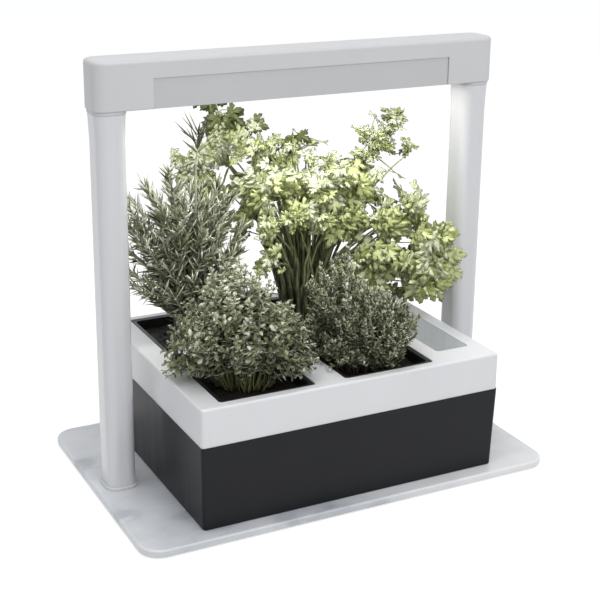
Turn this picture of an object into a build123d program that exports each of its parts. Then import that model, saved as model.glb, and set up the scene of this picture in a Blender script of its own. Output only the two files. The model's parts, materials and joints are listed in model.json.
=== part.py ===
from build123d import *
import os

# An indoor herb planter: a light gantry on a flat base plate, and a planter box that stands between its posts.
# Millimetres. X runs along the beam, the front faces -Y, and Z is up from the surface the feet stand on.
# The origin is under the middle of the base plate.

# Shared fits and cuts
overrun = 1.0               # how far a cut runs past the face it opens
press_gap = 0.1             # round a piece that is pressed or dropped into its seat
thread_gap = 0.05           # round a screw's thread in its pilot hole
fixed_gap = 0.3             # beside a fixed piece that slides into place once
running_gap = 0.3           # round a piece that moves in a hole
plunger_gap = 0.08          # round the switch's plunger in its guide

# Base plate and its rubber feet
plate_length = 494.0
plate_depth = 318.0
plate_thickness = 8.0
plate_corner_radius = 24.0
plate_edge_round = 2.5
plate_bottom_round = 1.0
foot_radius = 10.0
foot_projection = 2.0       # how far the feet stand below the plate
foot_recess = 1.0           # how deep they sit in it
foot_inset = 30.0           # from the plate's edges to the foot's centre

# Posts
post_spacing = 439.0        # between the two centres
post_width = 32.0
post_depth = 38.0
post_corner_radius = 11.0
post_wall = 2.0
post_flare = 1.2            # how far each side widens at the top
post_flare_height = 30.0

# Sockets at the posts' feet, and plugs at their heads
socket_rim = 2.2
socket_height = 4.0
socket_floor = 1.2
socket_chamfer = 1.2
spigot_length = 45.0
neck_height = 4.0
neck_overhang = 1.8
neck_chamfer = 0.8

# Screws through the plate and the beam's floor into the sockets and plugs
screw_radius = 2.0
screw_length = 22.0
screw_head_radius = 3.8
screw_head_height = 2.8
screw_hole_play = 0.25
screw_head_play = 0.5
screw_spacing = 20.0        # between the two screws of one post, along Y

# Beam: housing and lid
beam_length = 477.0
beam_depth = 45.0
beam_height = 51.0
beam_clear_height = 418.0   # from the plate's top to the beam's underside
beam_corner_radius = 14.0
beam_wall = 2.5
beam_bottom_round = 1.2
lid_height = 5.5
lid_round = 4.0
lid_lip_wall = 1.5
lid_lip_depth = 2.0

# Lamp in the notch of the beam's front wall and floor
notch_length = 353.0
notch_height = 31.5
lamp_setback = 1.5          # from the beam's front face to the lamp's
lamp_wall = 2.0
lamp_web = 3.0
lamp_rib_height = 8.0
lamp_rib_thickness = 2.0
lamp_rib_pitch = 7.0
lamp_rib_count = 5
lamp_end_thickness = 3.0
lamp_tab_length = 16.0
lamp_tab_width = 16.0
pillar_length = 12.0
pillar_width = 12.0
lamp_screw_radius = 1.5
lamp_screw_length = 8.0
lamp_screw_head_radius = 2.8
lamp_screw_head_height = 1.6
lamp_end_screw_drop = 3.0   # from the lamp's top down to the end screws' centres
diffuser_thickness = 2.5
diffuser_rise = 1.5         # from the lamp's bottom edge to the diffuser
groove_depth = 1.0

# Light source
led_board_thickness = 1.6
led_board_width = 30.0
led_board_end_gap = 3.0
led_size = 3.0
led_height = 0.7
led_columns = 24
led_rows = 3
led_pitch_x = 14.0
led_pitch_y = 9.0

# Driver board over the lamp, with the inlet and the power button at the rear wall
driver_spacer_height = 1.5
driver_spacer_radius = 2.5
driver_board_length = 130.0
driver_board_width = 26.0
driver_board_thickness = 1.6
driver_board_x = 70.0       # the board's centre
driver_board_inset = 6.2    # from the rear wall's inner face to the board's edge
driver_spacer_inset = 8.0   # from the board's ends to the spacers
lead_radius = 0.7
lead_spacing = 4.0
lead_inset = 5.0            # from the board's left end to the first lead
transformer_length = 18.0
transformer_width = 15.0
transformer_height = 9.0
transformer_offset = -16.0  # from the board's centre, along X
capacitor_radius = 4.0
capacitor_height = 9.5
capacitor_offset = -43.0    # from the board's centre, along X
capacitor_spacing = 12.0    # between the two, along Y
chip_length = 10.0
chip_width = 6.0
chip_height = 1.8
chip_offset = 5.5           # from the board's centre, along X
jack_x = 115.0
jack_width = 9.0
jack_height = 9.0
jack_nose_radius = 3.8
jack_bore_radius = 2.75
jack_bore_depth = 9.5
jack_pin_radius = 1.0
switch_x = 90.0
switch_width = 8.0
switch_depth = 7.5
button_radius = 5.0
button_projection = 2.0
button_round = 0.8
button_flange = 1.5
button_flange_thickness = 1.2
button_travel = 1.0
plunger_radius = 1.5
plunger_engagement = 2.5    # how deep the plunger stands in the switch at rest

# Planter box
box_length = 360.0          # at its top
box_depth = 288.0
box_height = 94.0
box_draft = 2.5             # how far each side comes in at the bottom
box_corner_radius = 4.0
box_bottom_round = 2.0
box_wall = 2.5
box_floor = 2.5

# Tray that closes the box and carries the pots
tray_inset = 0.7            # the tray's rim stands this far inside the box's faces
rim_height = 42.0
rim_edge_round = 2.5
rim_corner_radius = 3.5
skirt_wall = 4.0
lip_depth = 12.0
lip_wall = 2.5
lip_rise = 6.0              # how far the lip runs up inside the skirt
deck_thickness = 4.0
cell_wall = 2.0
cell_floor = 2.5

# Pots, two by two
pot_opening = 110.5
pot_opening_radius = 4.0
pot_pitch_x = 145.0
pot_pitch_y = 155.1
pot_grid_x = -27.25         # the middle of the four pots
pot_play = 0.5
pot_flange_width = 3.5
pot_flange_thickness = 1.7
pot_recess = 0.8            # from the deck's surface down to the flange
pot_wall = 1.5
pot_floor = 2.0
pot_height = 92.0
pot_taper = 8.5             # how far each side comes in at the bottom
pot_corner_radius = 6.0
pot_cell_play = 1.2
pot_bottom_gap = 0.5
drain_hole_radius = 3.0
drain_hole_pitch = 46.0
soil_drop = 12.0            # from the pot's rim down to the soil
wick_radius = 4.0
wick_rise = 30.0            # into the soil
wick_floor_gap = 3.0        # above the box's floor
wick_hole_play = 1.5

# Filling slot
slot_x = 140.5
slot_width = 42.3
slot_length = 219.2
slot_corner_radius = 4.0

# Herbs: how far each spreads from its pot's centre, and its height above the soil
sprig_sides = 6
sprig_root_share = 0.25     # a sprig's radii, and its belly's place, as shares of its radius and length
sprig_belly_share = 0.62
sprig_tip_share = 0.2
crown_height = 10.0
rosemary_spread_x = 76.0
rosemary_spread_y = 50.0
rosemary_height = 262.0
rosemary_sprig_radius = 13.0
rosemary_crown_radius = 20.0
thyme_spread_x = 72.0
thyme_spread_y = 50.0
thyme_height = 148.0
thyme_sprig_radius = 15.0
thyme_crown_radius = 24.0
savory_spread_x = 64.0
savory_spread_y = 50.0
savory_height = 126.0
savory_sprig_radius = 13.0
savory_crown_radius = 30.0
parsley_spread_x = 140.0
parsley_spread_y = 80.0
parsley_height = 262.0
parsley_leaf_radius = 38.0
parsley_stem_radius = 4.5
parsley_crown_radius = 22.0
leaf_lobes = 5
leaf_notch_share = 0.62
cluster_under_share = 0.50
cluster_over_share = 0.45
cluster_narrow_share = 0.40
stem_tip_share = 0.5

# Each sprig's tip, as shares of its herb's spread in X and Y and of its height
rosemary_tip_shares = (
    (-0.14, 0.00, 1.00), (-0.48, -0.15, 0.86), (-0.36, 0.38, 0.74), (-0.88, -0.35, 0.61),
    (-0.92, 0.25, 0.48), (-0.64, 0.70, 0.63), (0.20, 0.68, 0.70), (0.50, -0.35, 0.60),
    (0.54, 0.45, 0.48), (-0.27, -0.68, 0.68), (-0.85, -0.05, 0.31), (-0.66, -0.68, 0.38),
    (0.08, -0.60, 0.62), (0.32, 0.05, 0.80),
)
thyme_tip_shares = (
    (-0.22, 0.00, 1.00), (0.10, -0.30, 0.93), (-0.50, 0.40, 0.90), (-0.66, -0.30, 0.84),
    (-0.96, 0.05, 0.80), (-1.00, -0.35, 0.50), (-1.02, 0.10, 0.40), (-0.80, 0.70, 0.55),
    (-0.75, -0.85, 0.45), (-0.32, -0.92, 0.55), (0.15, -0.95, 0.42), (0.50, -0.70, 0.55),
    (0.74, -0.20, 0.66), (0.80, 0.30, 0.50), (0.48, 0.55, 0.74), (0.00, 0.70, 0.70),
    (0.80, -0.60, 0.40), (0.38, 0.10, 0.86), (-0.92, -0.70, 0.42), (0.62, 0.72, 0.42),
)
savory_tip_shares = (
    (-0.60, 0.10, 1.00), (-0.32, 0.50, 0.92), (-0.20, -0.35, 0.85), (0.05, 0.10, 0.88),
    (0.32, 0.45, 0.85), (0.38, -0.20, 0.80), (0.64, 0.15, 0.76), (0.86, 0.30, 0.70),
    (0.98, -0.10, 0.50), (0.86, -0.50, 0.45), (0.48, -0.78, 0.50), (0.10, -0.85, 0.55),
    (-0.25, -0.90, 0.50), (-0.62, -0.62, 0.50), (-0.82, -0.20, 0.55), (-0.82, 0.40, 0.50),
    (-0.60, 0.72, 0.50), (0.00, 0.74, 0.65), (0.62, 0.74, 0.50), (0.98, 0.30, 0.28),
    (-0.84, 0.05, 0.22), (0.72, -0.88, 0.22), (-0.40, -0.98, 0.22),
)
# Each leaf cluster's middle, as shares of the spread and height, and its radius as a share of the leaf radius
parsley_leaf_shares = (
    (-0.42, 0.50, 0.98, 0.62), (-0.18, 0.22, 0.92, 0.74), (0.01, -0.22, 0.87, 0.37),
    (-0.32, -0.20, 0.74, 0.86), (-0.36, 0.24, 0.64, 0.84), (0.11, 0.04, 0.76, 0.95),
    (0.36, -0.15, 0.65, 1.00), (0.68, -0.08, 0.72, 0.80), (0.87, -0.33, 0.97, 0.46),
    (0.75, -0.17, 0.52, 0.92), (0.02, -0.24, 0.50, 0.80), (0.28, -0.70, 0.30, 0.62),
    (0.57, -0.88, 0.30, 0.64), (0.82, -1.02, 0.26, 0.58), (0.98, -1.54, 0.43, 0.46),
    (0.40, 0.46, 0.60, 0.84),
)
parsley_far_leaf_shares = (-0.80, 0.87, 0.96, 0.28)

# Heights worked out from the sizes above
plate_bottom = foot_projection
plate_top = plate_bottom + plate_thickness
post_bottom = plate_top + socket_floor
beam_bottom = plate_top + beam_clear_height
beam_top = beam_bottom + beam_height
beam_seam = beam_top - lid_height
post_top = beam_bottom - neck_height
lamp_top = beam_bottom + notch_height - fixed_gap
lamp_web_top = lamp_top - lamp_rib_height
led_board_top = lamp_web_top - lamp_web
driver_board_bottom = lamp_top + driver_spacer_height
driver_board_top = driver_board_bottom + driver_board_thickness
inlet_height = driver_board_top + jack_height / 2
box_bottom = plate_top
box_top = box_bottom + box_height
deck_top = box_top + rim_height
ledge_height = deck_top - pot_recess - pot_flange_thickness
pot_top = deck_top - pot_recess
pot_bottom = pot_top - pot_height
cell_floor_top = pot_bottom - pot_bottom_gap
cell_bottom = cell_floor_top - cell_floor
soil_top = pot_top - soil_drop
reservoir_floor = box_bottom + box_floor

# Places and sections worked out from the sizes above
post_places = {"left": -post_spacing / 2, "right": post_spacing / 2}
lamp_front = -beam_depth / 2 + lamp_setback
rear_wall_inside = beam_depth / 2 - beam_wall
lamp_back = rear_wall_inside - fixed_gap
lamp_middle = (lamp_front + lamp_back) / 2
lamp_depth = lamp_back - lamp_front
lamp_length = notch_length - 2 * fixed_gap
profile_length = lamp_length - 2 * lamp_end_thickness
lamp_height = lamp_top - beam_bottom
driver_board_y = rear_wall_inside - driver_board_inset - driver_board_width / 2
jack_front = driver_board_y - driver_board_width / 2 + driver_board_inset
switch_face = rear_wall_inside - press_gap - button_flange_thickness - button_travel - running_gap
rim_length = box_length - 2 * tray_inset
rim_depth = box_depth - 2 * tray_inset
cell_inside = pot_opening - 2 * pot_play - 2 * pot_flange_width + 2 * pot_cell_play
pot_outside = pot_opening - 2 * pot_play - 2 * pot_flange_width
pot_places = {
    "front_left": (pot_grid_x - pot_pitch_x / 2, -pot_pitch_y / 2),
    "front_right": (pot_grid_x + pot_pitch_x / 2, -pot_pitch_y / 2),
    "back_left": (pot_grid_x - pot_pitch_x / 2, pot_pitch_y / 2),
    "back_right": (pot_grid_x + pot_pitch_x / 2, pot_pitch_y / 2),
}


def rounded_outline(length, depth, radius, height, x=0, y=0):
    """A level rounded rectangle about a place, at a height."""
    with BuildSketch(Plane((x, y, height))) as outline:
        RectangleRounded(length, depth, radius)
    return outline.sketch


def post_outline(height, x, growth=0):
    """The post's section at a height, each side moved out by the growth."""
    return rounded_outline(post_width + 2 * growth, post_depth + 2 * growth, post_corner_radius + growth, height, x)


def block(low, high, mode=Mode.ADD):
    """A block between two opposite corners, joined to the piece being made."""
    with Locations(tuple((a + b) / 2 for a, b in zip(low, high))):
        Box(*(b - a for a, b in zip(low, high)), mode=mode)


def screw(x, y, seat, up, radius, length, head_radius, head_height):
    """A pan-head screw whose head rests at the seat, with its thread going up or down from there."""
    with BuildPart() as fastener:
        with BuildSketch(Plane((x, y, seat))):
            Circle(radius)
        extrude(amount=length if up else -length)
        with BuildSketch(Plane((x, y, seat))):
            Circle(head_radius)
        extrude(amount=-head_height if up else head_height)
    return fastener.part


def save(piece, name):
    """Labels a finished piece and writes it."""
    piece.label = name
    export_step(piece, f"parts/{name}.step")


os.makedirs("parts", exist_ok=True)

# Base plate: counterbored for the socket screws, recessed for the feet
foot_locations = GridLocations((plate_length - 2 * foot_inset) / 2, plate_depth - 2 * foot_inset, 3, 2)
with BuildPart() as base_plate:
    extrude(rounded_outline(plate_length, plate_depth, plate_corner_radius, plate_bottom), amount=plate_thickness)
    fillet(base_plate.edges().group_by(Axis.Z)[-1], plate_edge_round)
    fillet(base_plate.edges().group_by(Axis.Z)[0], plate_bottom_round)
    with BuildSketch(Plane.XY.offset(plate_bottom)):
        with foot_locations:
            Circle(foot_radius + press_gap)
    extrude(amount=foot_recess, mode=Mode.SUBTRACT)
    for post_x in post_places.values():
        with BuildSketch(Plane((post_x, 0, plate_bottom))):
            with GridLocations(0, screw_spacing, 1, 2):
                Circle(screw_head_radius + screw_head_play)
        extrude(amount=screw_head_height + screw_head_play, mode=Mode.SUBTRACT)
        with BuildSketch(Plane((post_x, 0, plate_bottom))):
            with GridLocations(0, screw_spacing, 1, 2):
                Circle(screw_radius + screw_hole_play)
        extrude(amount=plate_thickness, mode=Mode.SUBTRACT)
save(base_plate.part, "base_plate")

with BuildPart() as rubber_feet:
    with BuildSketch():
        with foot_locations:
            Circle(foot_radius)
    extrude(amount=foot_projection + foot_recess)
save(rubber_feet.part, "rubber_feet")

# Foot sockets: a raised ring round the post, and a spigot inside it that the plate's screws hold
for side, post_x in post_places.items():
    with BuildPart() as socket:
        extrude(post_outline(plate_top, post_x, press_gap + socket_rim), amount=socket_height)
        chamfer(socket.edges().group_by(Axis.Z)[-1], socket_chamfer)
        extrude(post_outline(post_bottom, post_x, press_gap), amount=socket_height, mode=Mode.SUBTRACT)
        extrude(post_outline(plate_top, post_x, -post_wall - press_gap), amount=spigot_length)
        with BuildSketch(Plane((post_x, 0, plate_top))):
            with GridLocations(0, screw_spacing, 1, 2):
                Circle(screw_radius + thread_gap)
        extrude(amount=screw_length, mode=Mode.SUBTRACT)
    save(socket.part, f"{side}_foot_socket")

# Socket screws, heads up inside the plate's counterbores
socket_screw_seat = plate_bottom + screw_head_height + screw_head_play
with BuildPart() as socket_screws:
    for post_x in post_places.values():
        for screw_y in (-screw_spacing / 2, screw_spacing / 2):
            add(screw(post_x, screw_y, socket_screw_seat, True, screw_radius, screw_length,
                      screw_head_radius, screw_head_height))
save(socket_screws.part, "socket_screws")

# Posts: tubes that widen a little below the beam
for side, post_x in post_places.items():
    flare_start = post_top - post_flare_height
    with BuildPart() as post:
        extrude(post_outline(post_bottom, post_x), amount=flare_start - post_bottom)
        loft([post_outline(flare_start, post_x), post_outline(post_top, post_x, post_flare)], ruled=True)
        extrude(post_outline(post_bottom, post_x, -post_wall), amount=post_top - post_bottom, mode=Mode.SUBTRACT)
    save(post.part, f"{side}_post")

# Head plugs: the neck that shows under the beam, and a spigot down into the post
for side, post_x in post_places.items():
    with BuildPart() as plug:
        extrude(post_outline(post_top, post_x, neck_overhang), amount=neck_height)
        chamfer(plug.edges().group_by(Axis.Z)[0], neck_chamfer)
        extrude(post_outline(post_top, post_x, -post_wall - press_gap), amount=-spigot_length)
        with BuildSketch(Plane((post_x, 0, beam_bottom))):
            with GridLocations(0, screw_spacing, 1, 2):
                Circle(screw_radius + thread_gap)
        extrude(amount=-screw_length, mode=Mode.SUBTRACT)
    save(plug.part, f"{side}_head_plug")

with BuildPart() as plug_screws:
    for post_x in post_places.values():
        for screw_y in (-screw_spacing / 2, screw_spacing / 2):
            add(screw(post_x, screw_y, beam_bottom + beam_wall, False, screw_radius, screw_length,
                      screw_head_radius, screw_head_height))
save(plug_screws.part, "plug_screws")

# Beam housing: a trough, notched at the front and underneath for the lamp
tab_bottom = lamp_top - lamp_end_thickness
pillar_places = [side * (lamp_length / 2 + lamp_tab_length - pillar_length / 2) for side in (-1, 1)]
with BuildPart() as beam_housing:
    extrude(rounded_outline(beam_length, beam_depth, beam_corner_radius, beam_bottom), amount=beam_seam - beam_bottom)
    fillet(beam_housing.edges().group_by(Axis.Z)[0], beam_bottom_round)
    extrude(
        rounded_outline(beam_length - 2 * beam_wall, beam_depth - 2 * beam_wall, beam_corner_radius - beam_wall,
                        beam_bottom + beam_wall),
        amount=beam_seam - beam_bottom,
        mode=Mode.SUBTRACT,
    )
    block((-notch_length / 2, -beam_depth / 2 - overrun, beam_bottom - overrun),
          (notch_length / 2, rear_wall_inside, beam_bottom + notch_height), mode=Mode.SUBTRACT)
    for pillar_x in pillar_places:
        block((pillar_x - pillar_length / 2, lamp_middle - pillar_width / 2, beam_bottom + beam_wall),
              (pillar_x + pillar_length / 2, lamp_middle + pillar_width / 2, tab_bottom))
        with BuildSketch(Plane((pillar_x, lamp_middle, tab_bottom))):
            Circle(lamp_screw_radius + thread_gap)
        extrude(amount=-lamp_screw_length, mode=Mode.SUBTRACT)
    for post_x in post_places.values():
        with BuildSketch(Plane((post_x, 0, beam_bottom))):
            with GridLocations(0, screw_spacing, 1, 2):
                Circle(screw_radius + screw_hole_play)
        extrude(amount=beam_wall, mode=Mode.SUBTRACT)
    with BuildSketch(Plane.XZ.offset(-beam_depth / 2)):
        with Locations((jack_x, inlet_height)):
            Circle(jack_nose_radius + press_gap)
        with Locations((switch_x, inlet_height)):
            Circle(button_radius + running_gap)
    extrude(amount=beam_wall, mode=Mode.SUBTRACT)
save(beam_housing.part, "beam_housing")

# Beam lid: rounded along its top edge, with a lip inside the trough's walls
lip_outside = beam_wall + press_gap
lip_inside = lip_outside + lid_lip_wall
with BuildPart() as beam_lid:
    extrude(rounded_outline(beam_length, beam_depth, beam_corner_radius, beam_seam), amount=lid_height)
    fillet(beam_lid.edges().group_by(Axis.Z)[-1], lid_round)
    extrude(
        rounded_outline(beam_length - 2 * beam_wall, beam_depth - 2 * beam_wall, beam_corner_radius - beam_wall,
                        beam_seam),
        amount=lid_height - beam_wall,
        mode=Mode.SUBTRACT,
    )
    extrude(
        rounded_outline(beam_length - 2 * lip_outside, beam_depth - 2 * lip_outside,
                        beam_corner_radius - lip_outside, beam_seam - lid_lip_depth),
        amount=lid_lip_depth + lid_height - beam_wall,
    )
    extrude(
        rounded_outline(beam_length - 2 * lip_inside, beam_depth - 2 * lip_inside,
                        beam_corner_radius - lip_inside, beam_seam - lid_lip_depth),
        amount=lid_lip_depth + lid_height - beam_wall,
        mode=Mode.SUBTRACT,
    )
    # The lip stops short behind the driver board, where the inlet and the button stand
    block((driver_board_x - driver_board_length / 2, lamp_middle, beam_seam - lid_lip_depth - overrun),
          (driver_board_x + driver_board_length / 2, rear_wall_inside, beam_top - beam_wall), mode=Mode.SUBTRACT)
save(beam_lid.part, "beam_lid")

# Lamp profile: a heat sink with ribs above its web, and grooves for the diffuser below
rib_places = [lamp_middle + (k - (lamp_rib_count - 1) / 2) * lamp_rib_pitch for k in range(lamp_rib_count)]
diffuser_bottom = beam_bottom + diffuser_rise
groove_height = diffuser_thickness + 2 * press_gap
lamp_inside = lamp_depth - 2 * lamp_wall
low_corner = (Align.CENTER, Align.MIN)
with BuildPart() as lamp_profile:
    with BuildSketch(Plane.YZ):
        with Locations((lamp_middle, beam_bottom)):
            Rectangle(lamp_depth, lamp_height, align=low_corner)
            Rectangle(lamp_inside, led_board_top - beam_bottom, align=low_corner, mode=Mode.SUBTRACT)
        with Locations((lamp_middle, lamp_web_top)):
            Rectangle(lamp_inside, lamp_rib_height, align=low_corner, mode=Mode.SUBTRACT)
        with Locations(*[(rib_y, lamp_web_top) for rib_y in rib_places]):
            Rectangle(lamp_rib_thickness, lamp_rib_height, align=low_corner)
        with Locations((lamp_middle, diffuser_bottom - press_gap)):
            Rectangle(lamp_inside + 2 * groove_depth, groove_height, align=low_corner, mode=Mode.SUBTRACT)
    extrude(amount=profile_length / 2, both=True)
    # Screw pilots in the thick corners beside the ribs
    for end in (-1, 1):
        with BuildSketch(Plane((end * profile_length / 2, 0, 0), x_dir=(0, 1, 0), z_dir=(1, 0, 0))):
            with Locations(*[(rib_y, lamp_top - lamp_end_screw_drop) for rib_y in (rib_places[0], rib_places[-1])]):
                Circle(lamp_screw_radius + thread_gap + lamp_rib_thickness / 2)
        extrude(amount=-end * lamp_screw_length)
        with BuildSketch(Plane((end * profile_length / 2, 0, 0), x_dir=(0, 1, 0), z_dir=(1, 0, 0))):
            with Locations(*[(rib_y, lamp_top - lamp_end_screw_drop) for rib_y in (rib_places[0], rib_places[-1])]):
                Circle(lamp_screw_radius + thread_gap)
        extrude(amount=-end * lamp_screw_length, mode=Mode.SUBTRACT)
    # A slot through the web for the leads to the light source
    lead_x = driver_board_x - driver_board_length / 2 + lead_inset
    block((lead_x - lead_spacing, rib_places[2] + lamp_rib_thickness / 2, led_board_top - overrun),
          (lead_x + 2 * lead_spacing, rib_places[3] - lamp_rib_thickness / 2, lamp_web_top + overrun),
          mode=Mode.SUBTRACT)
save(lamp_profile.part, "lamp_profile")

# Lamp ends: a plate across the profile, and a tab outwards on to the housing's pillar
for end, side in ((-1, "left"), (1, "right")):
    inner = end * profile_length / 2
    outer = end * lamp_length / 2
    tab_end = end * (lamp_length / 2 + lamp_tab_length)
    pillar_x = end * (lamp_length / 2 + lamp_tab_length - pillar_length / 2)
    with BuildPart() as lamp_end:
        block((min(inner, outer), lamp_front, beam_bottom), (max(inner, outer), lamp_back, lamp_top))
        block((min(inner, tab_end), lamp_middle - lamp_tab_width / 2, tab_bottom),
              (max(inner, tab_end), lamp_middle + lamp_tab_width / 2, lamp_top))
        with BuildSketch(Plane((pillar_x, lamp_middle, tab_bottom))):
            Circle(lamp_screw_radius + screw_hole_play)
        extrude(amount=lamp_end_thickness, mode=Mode.SUBTRACT)
        with BuildSketch(Plane((inner, 0, 0), x_dir=(0, 1, 0), z_dir=(1, 0, 0))):
            with Locations(*[(rib_y, lamp_top - lamp_end_screw_drop) for rib_y in (rib_places[0], rib_places[-1])]):
                Circle(lamp_screw_radius + screw_hole_play)
        extrude(amount=end * lamp_end_thickness, mode=Mode.SUBTRACT)
    save(lamp_end.part, f"{side}_lamp_end")

# Lamp screws: one down through each tab, and two into each end of the profile
with BuildPart() as lamp_screws:
    for pillar_x in pillar_places:
        add(screw(pillar_x, lamp_middle, lamp_top, False, lamp_screw_radius, lamp_screw_length,
                  lamp_screw_head_radius, lamp_screw_head_height))
    for end in (-1, 1):
        end_plane = Plane((end * lamp_length / 2, 0, 0), x_dir=(0, 1, 0), z_dir=(1, 0, 0))
        with BuildSketch(end_plane):
            with Locations(*[(rib_y, lamp_top - lamp_end_screw_drop) for rib_y in (rib_places[0], rib_places[-1])]):
                Circle(lamp_screw_radius)
        extrude(amount=-end * lamp_screw_length)
        with BuildSketch(end_plane):
            with Locations(*[(rib_y, lamp_top - lamp_end_screw_drop) for rib_y in (rib_places[0], rib_places[-1])]):
                Circle(lamp_screw_head_radius)
        extrude(amount=end * lamp_screw_head_height)
save(lamp_screws.part, "lamp_screws")

with BuildPart() as diffuser:
    diffuser_width = lamp_inside + 2 * (groove_depth - press_gap)
    block((-profile_length / 2, lamp_middle - diffuser_width / 2, diffuser_bottom),
          (profile_length / 2, lamp_middle + diffuser_width / 2, diffuser_bottom + diffuser_thickness))
save(diffuser.part, "diffuser")

# Light source: a board under the web, with rows of chips facing down
led_board_bottom = led_board_top - led_board_thickness
with BuildPart() as led_board:
    board_half = profile_length / 2 - led_board_end_gap
    block((-board_half, lamp_middle - led_board_width / 2, led_board_bottom),
          (board_half, lamp_middle + led_board_width / 2, led_board_top))
save(led_board.part, "led_board")

with BuildPart() as led_chips:
    with BuildSketch(Plane((0, lamp_middle, led_board_bottom))):
        with GridLocations(led_pitch_x, led_pitch_y, led_columns, led_rows):
            Rectangle(led_size, led_size)
    extrude(amount=-led_height)
save(led_chips.part, "led_chips")

# Driver board on spacers over the ribs, its components, and its leads down to the light source
board_left = driver_board_x - driver_board_length / 2
board_right = driver_board_x + driver_board_length / 2
with BuildPart() as driver_board:
    block((board_left, driver_board_y - driver_board_width / 2, driver_board_bottom),
          (board_right, driver_board_y + driver_board_width / 2, driver_board_top))
save(driver_board.part, "driver_board")

with BuildPart() as driver_spacers:
    with BuildSketch(Plane.XY.offset(lamp_top)):
        for spacer_x in (board_left + driver_spacer_inset, board_right - driver_spacer_inset):
            with Locations((spacer_x, rib_places[1]), (spacer_x, rib_places[3])):
                Circle(driver_spacer_radius)
    extrude(amount=driver_spacer_height)
save(driver_spacers.part, "driver_spacers")

with BuildPart() as driver_components:
    with BuildSketch(Plane.XY.offset(driver_board_top)):
        with Locations((driver_board_x + transformer_offset, driver_board_y)):
            Rectangle(transformer_length, transformer_width)
    extrude(amount=transformer_height)
    with BuildSketch(Plane.XY.offset(driver_board_top)):
        with Locations((driver_board_x + capacitor_offset, driver_board_y)):
            with GridLocations(0, capacitor_spacing, 1, 2):
                Circle(capacitor_radius)
    extrude(amount=capacitor_height)
    with BuildSketch(Plane.XY.offset(driver_board_top)):
        with Locations((driver_board_x + chip_offset, driver_board_y - chip_width)):
            Rectangle(chip_length, chip_width)
    extrude(amount=chip_height)
save(driver_components.part, "driver_components")

with BuildPart() as led_leads:
    with BuildSketch(Plane.XY.offset(led_board_top)):
        with Locations((lead_x, (rib_places[2] + rib_places[3]) / 2),
                       (lead_x + lead_spacing, (rib_places[2] + rib_places[3]) / 2)):
            Circle(lead_radius)
    extrude(amount=driver_board_bottom - led_board_top)
save(led_leads.part, "led_leads")

# Inlet jack on the driver board, its nose in the rear wall
with BuildPart() as inlet_jack:
    block((jack_x - jack_width / 2, jack_front, driver_board_top),
          (jack_x + jack_width / 2, rear_wall_inside, driver_board_top + jack_height))
    with BuildSketch(Plane.XZ.offset(-rear_wall_inside)):
        with Locations((jack_x, inlet_height)):
            Circle(jack_nose_radius)
    extrude(amount=-beam_wall)
    with BuildSketch(Plane.XZ.offset(-beam_depth / 2)):
        with Locations((jack_x, inlet_height)):
            Circle(jack_bore_radius)
    extrude(amount=jack_bore_depth, mode=Mode.SUBTRACT)
save(inlet_jack.part, "inlet_jack")

with BuildPart() as inlet_pin:
    with BuildSketch(Plane.XZ.offset(-beam_depth / 2 + jack_bore_depth)):
        with Locations((jack_x, inlet_height)):
            Circle(jack_pin_radius)
    extrude(amount=beam_wall - jack_bore_depth)
save(inlet_pin.part, "inlet_pin")

# Switch on the driver board, and the plunger and button that press it
switch_back = switch_face - switch_depth
plunger_bore_depth = plunger_engagement + button_travel + running_gap
with BuildPart() as power_switch:
    block((switch_x - switch_width / 2, switch_back, driver_board_top),
          (switch_x + switch_width / 2, switch_face, driver_board_top + jack_height))
    with BuildSketch(Plane.XZ.offset(-switch_face)):
        with Locations((switch_x, inlet_height)):
            Circle(plunger_radius + plunger_gap)
    extrude(amount=plunger_bore_depth, mode=Mode.SUBTRACT)
save(power_switch.part, "power_switch")

button_back = rear_wall_inside - press_gap - button_flange_thickness
with BuildPart() as switch_plunger:
    with BuildSketch(Plane.XZ.offset(-button_back)):
        with Locations((switch_x, inlet_height)):
            Circle(plunger_radius)
    extrude(amount=button_back - switch_face + plunger_engagement)
save(switch_plunger.part, "switch_plunger")

with BuildPart() as power_button:
    with BuildSketch(Plane.XZ.offset(-button_back)):
        with Locations((switch_x, inlet_height)):
            Circle(button_radius)
    extrude(amount=button_back - beam_depth / 2 - button_projection)
    fillet(power_button.edges().group_by(Axis.Y)[-1], button_round)
    with BuildSketch(Plane.XZ.offset(-button_back)):
        with Locations((switch_x, inlet_height)):
            Circle(button_radius + button_flange)
    extrude(amount=-button_flange_thickness)
save(power_button.part, "power_button")

# Planter box: an open tub whose sides lean in towards the bottom
with BuildPart() as planter_box:
    loft([
        rounded_outline(box_length - 2 * box_draft, box_depth - 2 * box_draft, box_corner_radius, box_bottom),
        rounded_outline(box_length, box_depth, box_corner_radius, box_top),
    ], ruled=True)
    fillet(planter_box.edges().group_by(Axis.Z)[0], box_bottom_round)
    loft([
        rounded_outline(box_length - 2 * box_draft - 2 * box_wall, box_depth - 2 * box_draft - 2 * box_wall,
                        box_corner_radius - box_wall, reservoir_floor),
        rounded_outline(box_length - 2 * box_wall, box_depth - 2 * box_wall, box_corner_radius - box_wall, box_top),
    ], ruled=True, mode=Mode.SUBTRACT)
save(planter_box.part, "planter_box")

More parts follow.
